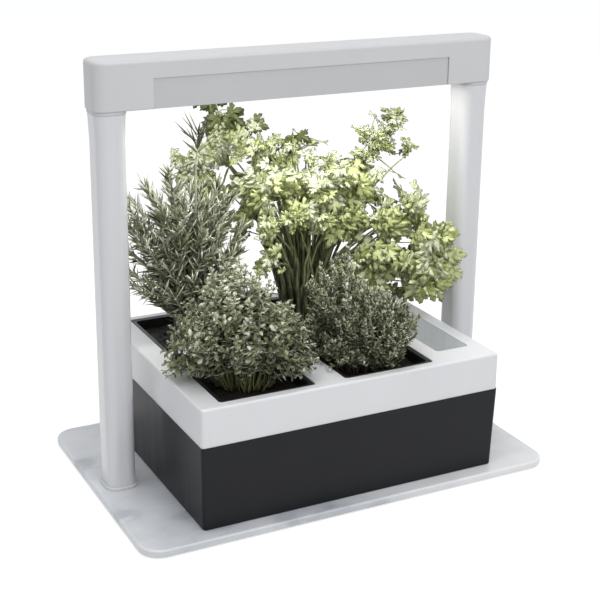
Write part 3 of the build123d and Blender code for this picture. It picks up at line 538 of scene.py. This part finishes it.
def lobed(seed):
    """A parsley leaflet: three toothed lobes, folded along its veins, with a thin closed body."""
    r = np.random.default_rng(seed)
    half = [(0.10, 0.02), (0.21, 0.07), (0.19, 0.20), (0.28, 0.33), (0.35, 0.30), (0.39, 0.45), (0.48, 0.40),
            (0.59, 0.49), (0.60, 0.37), (0.68, 0.32), (0.58, 0.21), (0.50, 0.10), (0.61, 0.13), (0.69, 0.21),
            (0.77, 0.15), (0.86, 0.19), (0.90, 0.10), (0.97, 0.05)]
    middle, ring_share = 0.40, 0.55
    fold, sag, lift, teeth = 0.16, 0.10, 0.055, 0.035
    ring_rise, middle_rise = 0.006, 0.007
    upper, lower = ([(x + r.normal(0, 0.012), up * y * r.uniform(0.88, 1.12)) for x, y in half]
                    for up in (1, -1))
    outline = np.array([(0.0, 0.0)] + upper + [(1.0, 0.0)] + lower[::-1])
    centre = np.array((middle, 0.0))
    n = len(outline)
    ring = centre + (outline - centre) * ring_share
    phase = r.uniform(0, ROUND)
    flat = np.vstack([outline, ring, ring, [centre], [centre]])
    x, y = flat.T
    away = np.hypot(x - middle, y)
    turn = np.arctan2(y, x - middle)
    z = (lift * np.cos(3 * turn) * away / 0.5 - fold * np.abs(y) + teeth * np.sin(9 * turn + phase) * away
         - sag * x * x)
    top, low, c_top, c_low = n, 2 * n, 3 * n, 3 * n + 1
    z[top:low] += ring_rise
    z[low:c_top] -= ring_rise
    z[c_top] += middle_rise
    z[c_low] -= middle_rise
    points = np.column_stack([flat, z])
    veins = np.maximum(0, np.cos(3 * turn)) ** 6
    carried = np.ones((len(points), 4))
    carried[:, 1] = x
    carried[:top, 2] = 0.05
    carried[top:c_top, 2] = 0.45 + 0.52 * veins[top:c_top]
    faces = []
    for k in range(n):
        m = (k + 1) % n
        faces += [(m, k, top + k, top + m), (top + m, top + k, c_top)]
        faces += [(k, m, low + m, low + k), (low + k, low + m, c_low)]
    return {"points": points, "carried": carried, "faces": triangles(faces)}


def arc(start, end, bow, count):
    """A stem's path: up from its start, then bowing over to its end."""
    start, end = np.asarray(start, float), np.asarray(end, float)
    knee = start + (end - start) * (0.30, 0.30, 0.5)
    knee[2] += bow
    return curve(start, knee, end, count)


def curve(start, knee, end, count):
    """Points on the curve that leaves its start towards the knee and comes to its end from there."""
    t = np.linspace(0, 1, count)[:, None]
    return (1 - t) ** 2 * start + 2 * t * (1 - t) * knee + t ** 2 * end


def path_length(path):
    return np.linalg.norm(np.diff(path, axis=0), axis=1).sum()


def whorls(path, count, bare, first):
    """Where leaves sit on a stem above its bare foot: the share of the way, the place and its axes."""
    for i in range(count):
        t = bare + (1 - bare) * (i + first) / count
        x = t * (len(path) - 1)
        k = min(int(x), len(path) - 2)
        lead = unit(path[k + 1] - path[k])
        side = unit(np.cross(lead, (0.2, 0.9, 0.1)))
        yield t, path[k] + (path[k + 1] - path[k]) * (x - k), lead, side, np.cross(lead, side)


def metres(*millimetres):
    """Lengths given in millimetres, in metres."""
    return np.array(millimetres, float) / 1000


def kept_in(point, low, high):
    return np.minimum(np.maximum(point, low), high)


def outside(point, low, high):
    return np.any(point < low) or np.any(point > high)


def foot_of(place):
    """The middle of a pot, on its soil."""
    low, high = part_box(place + "_pot")
    return np.array(((low.x + high.x) / 2, (low.y + high.y) / 2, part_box(place + "_soil")[1].z))


def opened(lead, side, other, turn, degrees):
    """A leaf's direction, turned round its stem and opened away from it, and the way straight out."""
    out = side * math.cos(turn) + other * math.sin(turn)
    angle = math.radians(degrees)
    return lead * math.cos(angle) + out * math.sin(angle), out


def fits(spot, end, low, high, spills):
    """Whether a leaf ends inside its limits and, on a stem that spills over the pot, clears the tray."""
    return not outside(end, low, high) and not (spills and min(end[2], spot[2]) < tray_top + 0.0015)


def stem_turn(r, i, main_stems, spill, spread):
    """Whether a stem is one of the last, which spill over the pot; its turn; and its share of the way out."""
    spills = i >= main_stems
    a = spill + r.normal(0, spread) if spills else i * NEXT_STEM + r.normal(0, 0.2)
    return spills, a, math.sqrt(min(1.0, (i + 0.5) / main_stems))


def show(herb, place, pieces):
    """A herb's pieces, each with its name and paint, in place of the herb's CAD solid."""
    for growth, name, paint in pieces:
        growth.build(herb + "_" + name, paint, place + "_herb", herb + "_leaf", [herb])


# Rosemary, at the back left: upright stems set all round with long needles
def rosemary():
    r = np.random.default_rng(11)
    foot = foot_of("back_left")
    needles, stems = Growth(), Growth()
    needle = blade([(0, 0.5), (0.5, 1.0), (1.0, 0)], 0.3)
    tips = [(-99, 60, 384), (-134, 60, 350), (-188, 85, 304), (-180, 50, 312), (-164, 60, 326),
            (-148, 50, 314), (-128, 70, 320), (-118, 45, 306), (-104, 80, 318), (-92, 48, 300),
            (-80, 80, 318), (-66, 60, 304), (-56, 90, 310), (-85, 110, 305), (-130, 118, 312),
            (-165, 112, 300), (-190, 55, 282), (-192, 50, 240), (-190, 70, 225), (-176, 34, 270),
            (-150, 32, 272), (-125, 33, 280), (-98, 34, 270), (-72, 34, 270), (-55, 34, 245),
            (-50, 110, 265), (-60, 104, 296), (-186, 105, 265), (-70, 120, 225), (-105, 45, 240),
            (-140, 45, 235), (-80, 52, 284), (-52, 60, 300), (-58, 60, 270), (-118, 34, 215),
            (-158, 36, 215), (-168, 60, 290), (-182, 36, 215), (-88, 34, 222), (-66, 36, 205),
            (-50, 34, 275), (-60, 32, 250), (-52, 40, 225), (-76, 36, 240), (-48, 46, 255), (-100, 100, 300)]
    low, high = metres(-197.5, 25.6, 133.5), metres(-42, 131, 420.5)
    lowest_needle, needle_gap = 0.175, 0.0049
    for tip in metres(*tips):
        a, s = r.uniform(0, ROUND), r.uniform(0.002, 0.016)
        start = foot + (s * math.cos(a), s * math.sin(a), -0.004)
        path = arc(start, tip + r.normal(0, 0.003, 3), 0.02, 14)
        path[1:-1] += r.normal(0, 0.0011, (12, 3))
        stems.tube(path, np.linspace(0.0023, 0.0009, 14), 6, 0.20 + r.uniform(-0.15, 0.15), 0.95)
        turn = r.uniform(0, ROUND)
        bare = 0.14 + r.uniform(0, 0.08)
        tallest = tip[2] > 0.38
        widest, closing = (88, 50) if tallest else (54, 28)
        for t, spot, lead, side, other in whorls(path, int(path_length(path) / needle_gap), bare, 0.5):
            if tallest and 0.290 < spot[2] < 0.356:
                # The tallest stem is nearly bare below its tuft
                continue
            tuft = tallest and t > 0.8
            for _ in range(3):
                turn += 2.1 + r.normal(0, 0.25)
                d, out = opened(lead, side, other, turn, widest - closing * t ** 2 + r.normal(0, 12))
                size = (0.0250 - 0.007 * t ** 3) * r.uniform(0.60, 1.15) * (1.7 if tuft else 1.0)
                end = spot + d * size
                if outside(end, low, high) or end[2] < lowest_needle:
                    d = unit(d * (0.4, 0.4, 1.0) + UP * 0.4)
                    size *= 0.75
                    if outside(spot + d * size, low, high):
                        continue
                # Painted light: needles paler towards the stem's tip, and about a quarter of them painted as
                # highlights
                tone = 0.24 + 0.50 * (t - 0.5) + r.normal(0, 0.20) + (0.6 if r.uniform() < 0.24 else 0.0)
                if tuft:
                    tone = 0.10 + r.normal(0, 0.08)
                facing = np.cross(d, np.cross(out, d)) + UP * 0.6
                needles.leaf(needle, spot, d, facing, size, 0.00135, 0.0010, tone)
    leaf_paint = leafy("rosemary_needle", (0.022, 0.026, 0.010), (0.250, 0.274, 0.146), (0.95, 0.96, 0.80),
                       (0.62, 0.65, 0.47), (0.11, 0.13, 0.055), patch=60.0, edge_share=0.45, vein_share=0.35)
    bark = stalky("rosemary_stem", (0.040, 0.032, 0.020), (0.58, 0.60, 0.45))
    show("rosemary", "back_left", [(needles, "needles", leaf_paint), (stems, "stems", bark)])


# Thyme, at the front left: a mound of thin stems with small pale-edged leaves in pairs
def thyme():
    r = np.random.default_rng(23)
    leaves, stems = Growth(), Growth()
    shape = blade([(0, 0), (0.16, 0.42), (0.5, 1.0), (0.82, 0.62), (1.0, 0)], 0.25)
    low, high = metres(-199, -154, 135), metres(-31.5, -24.5, 298)
    centre = foot_of("front_left") + (-0.002, 0, 0)
    # How high the mound stands along x
    along_x = metres(-200, -170, -145, -118, -98, -80, -55, -30)
    crest = metres(172, 228, 256, 290, 276, 256, 226, 200)
    main_stems, low_stems, leaf_gap = 220, 30, 0.0062
    for i in range(main_stems + low_stems):
        # The low stems spill over two of the pot's corners, back left and front right
        spills, a, share = stem_turn(r, i, main_stems, math.pi * (i % 2) - 0.5, 0.38)
        spread = np.array((math.cos(a) * 0.090 + 0.004, math.sin(a) * 0.060)) * share
        top = np.interp(centre[0] + spread[0], along_x, crest) - centre[2]
        tall = top * (1 - 0.72 * abs(spread[1] / 0.062) ** 2.2) * r.uniform(0.30, 1.04) ** 0.5
        if spills:
            tall = r.uniform(0.018, 0.046)
        tip = centre + (*spread, max(tall, 0.016)) + r.normal(0, 0.002, 3)
        tip = kept_in(tip, low + 0.006, high - 0.008)
        start = centre + np.array((math.cos(a), math.sin(a), 0)) * 0.026 * share - UP * 0.003
        path = arc(start, tip, 0.020 * share + 0.004, 11)
        path[1:-1] += r.normal(0, 0.0013, (9, 3))
        path = kept_in(path, low + 0.0015, high)
        stems.tube(path, np.linspace(0.00095, 0.0005, 11), 5, 0.35 + r.uniform(-0.15, 0.15), 0.80)
        count = max(6, int(path_length(path) / leaf_gap))
        turn = r.uniform(0, ROUND)
        bare = 0.22 + 0.12 * r.uniform()
        plant_tone = r.normal(0, 0.12)
        for j, (t, spot, lead, side, other) in enumerate(whorls(path, count, bare, 1)):
            turn += 1.57 + r.normal(0, 0.3)
            last = j == count - 1
            for k in range(4 if last else 2):
                angle = turn + k * (1.57 if last else 3.14) + r.normal(0, 0.25)
                d, _ = opened(lead, side, other, angle, (30 if last else 68) + r.normal(0, 14))
                size = 0.0095 * r.uniform(0.6, 1.2) * (0.62 if last else 1.0) * (1 - 0.25 * (t > 0.9))
                if fits(spot, spot + d * size, low, high, spills):
                    # Painted light and shade: leaves paler the higher they sit, darker low in the mound
                    tone = 0.10 + 5.6 * (spot[2] - 0.150) + r.normal(0, 0.27) + plant_tone + 0.22 * spills
                    facing = UP + lead * 0.5 + r.normal(0, 0.60, 3)
                    drooping = bent(shape, r.uniform(0.0, 1.6))
                    leaves.leaf(drooping, spot, d, facing, size, size * 0.31, 0.0009, tone)
    leaf_paint = leafy("thyme_leaf", (0.013, 0.017, 0.004), (0.250, 0.282, 0.122), (0.90, 0.92, 0.76),
                       (0.88, 0.89, 0.76), (0.48, 0.52, 0.32), rough=0.46, patch=80.0, edge_share=0.55,
                       vein_share=0.3)
    bark = stalky("thyme_stem", (0.045, 0.040, 0.016), (0.34, 0.36, 0.17))
    show("thyme", "front_left", [(leaves, "leaves", leaf_paint), (stems, "stems", bark)])


# Savory, at the front right: a dense cushion of fine upright sprigs
def savory():
    r = np.random.default_rng(37)
    leaves, stems = Growth(), Growth()
    shape = blade([(0, 0), (0.5, 1.0), (1.0, 0)], 0.3)
    low, high = metres(-21.5, -154, 135), metres(112, -24.2, 288)
    centre = foot_of("front_right")
    # How high the cushion stands along x
    along_x = metres(-22, -14, 0, 13, 26, 45, 70, 90, 104, 112)
    crest = metres(220, 234, 254, 276, 240, 224, 210, 202, 186, 160)
    main_stems, low_stems, leaf_gap = 310, 48, 0.0040
    for i in range(main_stems + low_stems):
        # The low stems fill the pot's left side, towards the thyme
        spills, a, share = stem_turn(r, i, main_stems, math.pi - 0.25, 0.55)
        root = np.array((math.cos(a), math.sin(a))) * 0.036 * share
        spread = np.array((math.cos(a) * 0.062 - 0.006, math.sin(a) * 0.058 - 0.004)) * share
        spread[0] = min(spread[0], 0.056 + 0.45 * min(0.0, spread[1] + 0.010))
        top = np.interp(centre[0] + spread[0], along_x, crest) - centre[2]
        tall = top * (1 - 0.62 * abs(spread[1] / 0.064) ** 2.4) * r.uniform(0.45, 1.0) ** 0.4
        if spills:
            tall = r.uniform(0.018, 0.060)
        tip = centre + (*spread, max(tall, 0.014)) + r.normal(0, 0.002, 3)
        tip = kept_in(tip, low + 0.006, high - 0.004)
        path = arc(centre + (*root, -0.003), tip, 0.010 * share, 10)
        path[1:-1] += r.normal(0, 0.0009, (8, 3))
        stems.tube(path, np.linspace(0.0008, 0.0004, 10), 5, 0.2 + r.uniform(-0.1, 0.1), 0.55)
        count = max(8, int(path_length(path) / leaf_gap))
        turn = r.uniform(0, ROUND)
        bare = 0.06 + 0.1 * r.uniform()
        for t, spot, lead, side, other in whorls(path, count, bare, 1):
            turn += 0.9 + r.normal(0, 0.3)
            for k in range(3):
                angle = turn + k * 2.094 + r.normal(0, 0.25)
                d, _ = opened(lead, side, other, angle, 58 - 26 * t + r.normal(0, 10))
                size = 0.0086 * r.uniform(0.6, 1.25) * (1.0 - 0.30 * t)
                if fits(spot, spot + d * size, low, high, spills):
                    # Painted light and shade: leaves paler the higher they sit and near their sprig's tip,
                    # darker low in the cushion
                    tone = 0.24 + 1.2 * (spot[2] - 0.150) + 0.30 * max(0, t - 0.6) + r.normal(0, 0.28)
                    facing = UP + lead * 0.4 + r.normal(0, 0.6, 3)
                    leaves.leaf(shape, spot, d, facing, size, size * 0.24, 0.0007, tone)
    leaf_paint = leafy("savory_leaf", (0.026, 0.030, 0.012), (0.400, 0.420, 0.250), (0.92, 0.93, 0.80),
                       (0.72, 0.75, 0.55), (0.26, 0.28, 0.16), patch=70.0, edge_share=0.45, vein_share=0.3)
    bark = stalky("savory_stem", (0.03, 0.025, 0.016), (0.20, 0.20, 0.13))
    show("savory", "front_right", [(leaves, "leaves", leaf_paint), (stems, "stems", bark)])


# The parsley's clusters of leaves, in millimetres: each one's centre, its reach, how many leaves, their
# smallest and largest size, their tone, which carries painted light and shade, its stalks and, where they
# differ, the spread of tones and whether the leaves stand flat
parsley_clusters = [
    ((-50, 146, 402), (18, 10, 9), 7, (24, 32), 0.00, 2, 0.04, True),
    ((-30, 143, 382), (18, 10, 13), 8, (26, 36), 0.02, 1, 0.05, True),
    ((-34, 142, 356), (22, 6, 12), 30, (15, 22), 0.80, 2, 0.20, True),
    ((-70, 142, 328), (30, 6, 17), 80, (14, 22), 1.00, 2, 0.22, True),
    ((-40, 142, 334), (20, 6, 24), 60, (14, 22), 1.00, 2, 0.22, True),
    ((-92, 146, 312), (3, 4, 4), 2, (26, 30), 0.16, 1, 0.04, True),
    ((-50, 146, 300), (30, 10, 22), 26, (18, 24), 0.50, 2, 0.24, True),
    ((-46, 146, 268), (24, 10, 26), 16, (20, 28), 0.36, 1, 0.20, True),
    ((0, 136, 252), (30, 20, 34), 34, (20, 28), 0.34, 3, 0.20),
    ((-10, 112, 290), (24, 30, 34), 50, (18, 28), 0.50, 2),
    ((6, 128, 370), (16, 8, 8), 7, (18, 26), 0.04, 1, 0.05, True),
    ((50, 108, 360), (5, 5, 3), 2, (26, 30), 0.00, 1, 0.02, True),
    ((-2, 108, 343), (30, 24, 24), 96, (15, 26), 0.74, 4, 0.22),
    ((-10, 62, 312), (22, 30, 28), 90, (16, 28), 0.66, 4),
    ((26, 70, 310), (36, 36, 32), 130, (16, 28), 0.68, 5),
    ((60, 85, 336), (36, 30, 18), 44, (12, 20), 0.84, 4, 0.18),
    ((64, 62, 296), (38, 32, 34), 130, (18, 30), 0.60, 5),
    ((108, 64, 290), (40, 34, 36), 130, (18, 34), 0.56, 5),
    ((82, 44, 260), (48, 18, 20), 74, (18, 30), 0.46, 3),
    ((138, 44, 250), (40, 16, 28), 84, (22, 36), 0.54, 4),
    ((180, 52, 262), (18, 22, 36), 70, (22, 36), 0.54, 4),
    ((184, 36, 232), (15, 9, 34), 44, (22, 34), 0.52, 2),
    ((116, 36, 212), (46, 9, 20), 60, (22, 36), 0.58, 4, 0.26),
    ((166, 34, 172), (24, 7, 15), 26, (18, 28), 0.40, 2),
    ((162, 36, 200), (34, 9, 26), 56, (22, 34), 0.54, 3, 0.26),
    ((112, 34, 182), (32, 7, 18), 36, (20, 32), 0.52, 2, 0.26),
    ((-16, 40, 266), (14, 12, 26), 60, (14, 24), 0.54, 2, 0.22),
    ((-16, 36, 228), (12, 8, 22), 24, (12, 22), 0.44, 1, 0.20),
    ((14, 36, 276), (32, 9, 18), 50, (16, 26), 0.52, 2),
    ((52, 34, 268), (24, 8, 12), 24, (16, 26), 0.46, 2),
    ((150, -46, 228), (26, 18, 20), 46, (24, 38), 0.60, 5, 0.26),
    ((150, -46, 204), (26, 18, 14), 22, (24, 36), 0.48, 2),
    ((172, -44, 222), (10, 18, 22), 18, (22, 32), 0.50, 2),
    ((158, -44, 256), (26, 13, 18), 36, (22, 34), 0.58, 3),
    ((162, -2, 212), (34, 26, 14), 40, (26, 36), 0.54, 3),
    ((192, 34, 160), (5, 3, 5), 3, (14, 18), 0.00, 1, 0.04),
    ((60, 132, 326), (70, 22, 36), 50, (18, 30), 0.48, 5),
    ((140, 112, 310), (50, 30, 34), 34, (18, 30), 0.50, 3),
    ((180, 96, 369), (18, 12, 21), 60, (12, 18), 0.62, 2, 0.34),
    ((152, 92, 340), (40, 16, 24), 110, (13, 21), 0.70, 2, 0.30),
    ((190, 84, 334), (10, 18, 20), 24, (10, 16), 0.30, 1),
]


# Parsley, at the back right: a bundle of thick stalks that fan out into big lobed leaves
def parsley():
    r = np.random.default_rng(5)
    foot = foot_of("back_right")
    # The leaves are kept in three pieces along x, so that none is too heavy
    parts = {"left": Growth(), "middle": Growth(), "right": Growth()}
    stems = Growth()
    shapes = [lobed(k) for k in range(8)]
    heart = np.array((0.070, 0.085, 0.250))
    # The parsley's own room: beside the beam, behind the rosemary and over the filling slot
    lowest, highest, right_end, back_end = 0.1360, 0.421, 0.201, 0.158
    beam_side, beam_under = 0.0262, 0.231
    front_edge, left_edge = 0.0245, -0.0375
    behind, behind_end, high_up, behind_end_high = 0.1338, -0.098, 0.352, -0.064
    slot_left, slot_right, slot_front = 0.1235, 0.192, -0.066

    def allowed(p, margin=0.0):
        """Whether a point is in the parsley's own room."""
        x, y, z = p
        if z < lowest or z > highest or x > right_end or y > back_end:
            return False
        if abs(y) < beam_side + margin and z > beam_under:
            return False
        if y >= front_edge:
            end = behind_end_high if z > high_up else behind_end
            return x > left_edge + margin or (y > behind and x > end)
        return slot_left < x < slot_right and y > slot_front

    def leaflet(root, direction, facing, length, tone, squeeze):
        """One leaflet, made smaller until its corners are in the parsley's room, or left out."""
        d = unit(direction)
        side = unit(np.cross(facing, d))
        for _ in range(5):
            corners = [root + d * length * u + side * length * squeeze * v
                       for u, v in ((1.0, 0), (0.45, 0.55), (0.45, -0.55), (0.2, 0.5), (0.2, -0.5))]
            if all(allowed(c) for c in corners):
                part = parts["left" if root[0] < 0.018 else "middle" if root[0] < 0.118 else "right"]
                part.leaf(shapes[int(r.integers(8))], root, d, facing, length, length * squeeze, length, tone)
                return True
            length *= 0.82
        return False

    def stalk(tip):
        """A thick stalk from the bundle, on its tip's side, to the tip; its upper part carries the leaves."""
        a, s = r.uniform(0, ROUND), 0.021 * math.sqrt(r.uniform(0.02, 1))
        start = foot + (0.002, -0.002, -0.004) + (s * math.cos(a), s * math.sin(a) * 0.8, 0)
        start[:2] += (tip[:2] - start[:2]) * 0.05
        if tip[1] < 0.026:
            # The overhanging ones pass low beside the filling slot
            knee = np.array((0.145 + r.uniform(-0.012, 0.012), 0.030, 0.200 + r.uniform(-0.006, 0.008)))
            path = np.vstack([arc(start, knee, 0.03, 9), arc(knee, tip, 0.006, 9)[1:]])
            inside = np.abs(path[:, 1]) < 0.027
            path[inside, 2] = np.minimum(path[inside, 2], 0.224)
        elif tip[0] < -0.036:
            # The far left ones keep behind the rosemary
            knee = np.array((-0.020, 0.144, 0.318))
            path = np.vstack([arc(start, knee, 0.03, 9), arc(knee, tip, 0.010, 9)[1:]])
            path[10:, 1] = np.maximum(path[10:, 1], 0.1385)
        else:
            knee = start + (tip - start) * (0.16, 0.16, 0.66) + UP * (0.0 if tip[2] > 0.25 else 0.045)
            path = curve(start, knee, tip, 17)
        path[1:-1] += r.normal(0, 0.0007, (len(path) - 2, 3))
        half = len(path) // 2
        lower, upper = np.linspace(0.0026, 0.0017, half), np.linspace(0.0016, 0.0006, len(path) - half)
        radii = np.concatenate([lower, upper])
        if tip[2] > 0.36:
            radii[half:] *= 0.75
        stems.tube(path, radii, 7, 0.02 + r.uniform(-0.02, 0.08), 0.66)
        return path[len(path) * 2 // 5:]

    def sprig(foot_at, ways):
        """A leaf's own thin stem, from the nearest of its cluster's stalks."""
        near = ways[np.argmin(np.linalg.norm(ways - foot_at, axis=1))]
        bow = (near + foot_at) / 2 + UP * 0.002
        if np.linalg.norm(near - foot_at) < 0.05 and allowed(bow):
            stems.tube([near, bow, foot_at], [0.0010, 0.0008, 0.0006], 5, 0.70, 0.85)

    def cluster(centre, reach, count, sizes, tone, stalks, spread=0.24, flat=False):
        """Leaves about a place, each with two side leaflets; the large leaves of a flat cluster have none."""
        centre, reach, sizes = metres(*centre), metres(*reach), metres(*sizes)
        paths = []
        for _ in range(stalks):
            tip = centre + reach * r.uniform(-0.6, 0.6, 3)
            if allowed(tip, 0.001):
                paths.append(stalk(tip))
        ways = np.vstack(paths or [stalk(centre)])
        made = tries = 0
        while made < count and tries < count * 6:
            tries += 1
            v = r.normal(0, 1, 3)
            v *= min(1.45, abs(r.normal(0.25, 0.62))) / np.linalg.norm(v)
            spot = centre + v * reach
            if not allowed(spot, 0.0005):
                continue
            away = unit((spot - heart) * (1.0, 1.3, 1.0))
            if flat:
                turn = r.uniform(-2.6, 0.2)
                d = np.array((math.cos(turn), 0.03, math.sin(turn) * 0.8 + 0.1))
                face = unit(np.array((-0.10, -1.0, 0.20)) + r.normal(0, 0.10, 3))
            else:
                d = unit(unit(away * (1, 1, 0)) * 0.6 - UP * 0.18 + r.normal(0, 0.45, 3))
                face = unit(UP * 0.36 + away * 0.58 + np.array((-0.20, -0.50, 0)) + r.normal(0, 0.26, 3))
            size = r.uniform(*sizes)
            # Painted light: leaves higher in their cluster are paler
            own = tone + 0.28 * v[2] + r.normal(0, spread)
            side = np.cross(face, d)
            if leaflet(spot, d, face, size * (1.0 if flat else 0.88), own, r.uniform(0.75, 1.0)):
                made += 1
                for turn in () if flat and size > 0.023 else (-1, 1):
                    angle = turn * r.uniform(0.8, 1.2)
                    way = d * math.cos(angle) + side * math.sin(angle)
                    lean = face + r.normal(0, 0.25, 3)
                    made += leaflet(spot - d * size * 0.10, way, lean, size * 0.72, own + r.normal(0, 0.10),
                                    r.uniform(0.75, 1.0))
                sprig(spot, ways)

    for row in parsley_clusters:
        cluster(*row)
    for _ in range(44):
        # Short inner stalks fill the bundle between the tall ones; they are the darkest, as painted shade
        # inside the bundle
        a, s = r.uniform(0, ROUND), 0.023 * math.sqrt(r.uniform())
        out = np.array((math.cos(a), math.sin(a) * 0.8, 0)) * s
        start = foot + (0.002, 0, -0.004) + out
        path = arc(start, start + out * r.uniform(0.6, 1.5) + UP * r.uniform(0.085, 0.135), 0.02, 10)
        stems.tube(path, np.linspace(0.0027, 0.0013, 10), 7, 0.01 + r.uniform(-0.01, 0.06), 0.26)
    leaf_paint = leafy("parsley_leaf", (0.135, 0.166, 0.044), (0.590, 0.648, 0.264), (0.80, 0.84, 0.60),
                       (0.66, 0.72, 0.39), (0.76, 0.81, 0.54), rough=0.45, patch=140.0, edge_share=0.10,
                       vein_share=0.26, grain=500.0, grain_depth=0.0002, mottling=0.18)
    bark = stalky("parsley_stalk", (0.009, 0.013, 0.004), (0.56, 0.62, 0.28), 0.62)
    pieces = [(part, "leaves_" + name, leaf_paint) for name, part in parts.items()]
    show("parsley", "back_right", pieces + [(stems, "stalks", bark)])


rosemary()
thyme()
savory()
parsley()


# Soil crumbs on each pot's soil
def rock(seed):
    """A rough crumb of unit size, from a twenty-sided solid."""
    r = np.random.default_rng(seed)
    g = (1 + math.sqrt(5)) / 2
    p = np.array([(-1, g, 0), (1, g, 0), (-1, -g, 0), (1, -g, 0), (0, -1, g), (0, 1, g), (0, -1, -g),
                  (0, 1, -g), (g, 0, -1), (g, 0, 1), (-g, 0, -1), (-g, 0, 1)], float)
    f = [(0, 11, 5), (0, 5, 1), (0, 1, 7), (0, 7, 10), (0, 10, 11), (1, 5, 9), (5, 11, 4), (11, 10, 2),
         (10, 7, 6), (7, 1, 8), (3, 9, 4), (3, 4, 2), (3, 2, 6), (3, 6, 8), (3, 8, 9), (4, 9, 5), (2, 4, 11),
         (6, 2, 10), (8, 6, 7), (9, 8, 1)]
    p = p / np.linalg.norm(p[0]) * r.uniform(0.65, 1.15, (12, 1)) * (1.0, 0.8, 0.65)
    return p, np.array(f, int)


def bumpy(r, n):
    """Random heights on a square grid, from waves of four sizes."""
    h = np.zeros((n, n))
    for size in (5, 9, 17, 30):
        coarse = r.normal(0, 1, (size, size))
        i = np.linspace(0, size - 1.001, n)
        a, b = np.meshgrid(i, i, indexing="ij")
        ai, bi = a.astype(int), b.astype(int)
        u, v = a - ai, b - bi
        h += (coarse[ai, bi] * (1 - u) * (1 - v) + coarse[ai + 1, bi] * u * (1 - v)
              + coarse[ai, bi + 1] * (1 - u) * v + coarse[ai + 1, bi + 1] * u * v) * (1.6 / math.sqrt(size))
    return h


def sheet_faces(n):
    """The faces of a square sheet with n points a side: its top, its underside and its rim."""
    faces = []
    for i in range(n - 1):
        for j in range(n - 1):
            a = i * n + j
            faces.append((a, a + n, a + n + 1, a + 1))
            faces.append((n * n + a, n * n + a + 1, n * n + a + n + 1, n * n + a + n))
    for k in range(n - 1):
        for a, b in ((k, k + 1), ((n - 1) * n + k + 1, (n - 1) * n + k), ((k + 1) * n, k * n),
                     (k * n + n - 1, (k + 1) * n + n - 1)):
            faces.append((a, b, b + n * n, a + n * n))
    return triangles(faces)


def soil_bed(place, seed):
    """A crumbly top for the soil: a rough sheet with a closed underside, strewn with crumbs."""
    r = np.random.default_rng(seed)
    x0, y0, soil_top = foot_of(place)
    low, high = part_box(place + "_soil")
    half = (high.x - low.x) / 2 - 0.0004
    bed = Growth()
    n, crumbs, kinds = 46, 240, 24
    axis = np.linspace(-half, half, n)
    gx, gy = np.meshgrid(axis, axis, indexing="ij")
    top = soil_top + 0.0013 + 0.0011 * np.clip(bumpy(r, n), -1.0, 2.2)
    under = np.full((n, n), soil_top - 0.002)
    points = np.vstack([np.column_stack([(gx + x0).ravel(), (gy + y0).ravel(), level.ravel()])
                        for level in (top, under)])
    bed.add(points, sheet_faces(n), np.full((len(points), 4), 0.5))
    for k in range(crumbs):
        p, f = rock(seed * 1000 + k % kinds)
        size = 0.0006 + 0.0022 * r.uniform() ** 2.5
        a = r.uniform(0, ROUND)
        turn = np.array([(math.cos(a), math.sin(a), 0), (-math.sin(a), math.cos(a), 0), (0, 0, 1)])
        spot = np.array((r.uniform(-1, 1) * (half - 0.003), r.uniform(-1, 1) * (half - 0.003)))
        i, j = (int(round((s + half) / (2 * half) * (n - 1))) for s in spot)
        bed.add((p * size) @ turn + (x0 + spot[0], y0 + spot[1], top[i, j] + size * 0.2), f,
                np.full((len(p), 4), 0.5))
    paint = soil_ground(place + "_soil_top", 0.55)
    bed.build(place + "_soil_crumbs", paint, place + "_herb", "soil", smooth=False)


for k, place in enumerate(("front_left", "front_right", "back_left", "back_right")):
    soil_bed(place, 60 + k)


# The floor: matt, with a glow of its own that only the camera sees
def ground():
    mesh = bpy.data.meshes.new("floor")
    mesh.from_pydata([(-9, -9, 0), (9, -9, 0), (9, 9, 0), (-9, 9, 0)], [], [(0, 1, 2, 3)])
    floor = placed("floor", mesh)
    paint = bpy.data.materials.new("floor")
    tree = Tree(paint)
    matt = tree.node("ShaderNodeBsdfDiffuse", {"Color": (0.66, 0.66, 0.66)})
    glow = tree.node("ShaderNodeEmission", {"Strength": tree.calc("MULTIPLY", tree.seen_directly(), 0.60)})
    both = tree.node("ShaderNodeAddShader", {0: matt.outputs[0], 1: glow.outputs[0]})
    tree.node("ShaderNodeOutputMaterial", {"Surface": both.outputs[0]})
    mesh.materials.append(paint)


# The world: brighter to the camera than as a light on the object
def sky():
    world = bpy.data.worlds.new("world")
    bpy.context.scene.world = world
    tree = Tree(world)
    level = tree.span(tree.seen_directly(), 0.60, 1.05, 0.0, 1.0)
    shine = tree.node("ShaderNodeBackground", {"Color": (0.97, 0.985, 1.0), "Strength": level})
    tree.node("ShaderNodeOutputWorld", {"Surface": shine.outputs[0]})


# Two square lamps, each with its place, aim, size and power
def lamps():
    for name, place, aim, size, power in (
        ("key", (0.25, -1.75, 1.70), (0, 0, 0.2), 1.1, 15.5),
        ("top", (-0.55, -0.30, 2.05), (0, 0, 0.15), 1.3, 9.0),
    ):
        data = bpy.data.lights.new(name, "AREA")
        data.shape = "SQUARE"
        data.size = size
        data.energy = power
        lamp = placed(name, data)
        lamp.location = place
        lamp.rotation_mode = "QUATERNION"
        lamp.rotation_quaternion = (Vector(aim) - Vector(place)).to_track_quat("-Z", "Y")


ground()
sky()
lamps()
bpy.context.scene.view_settings.view_transform = "Standard"
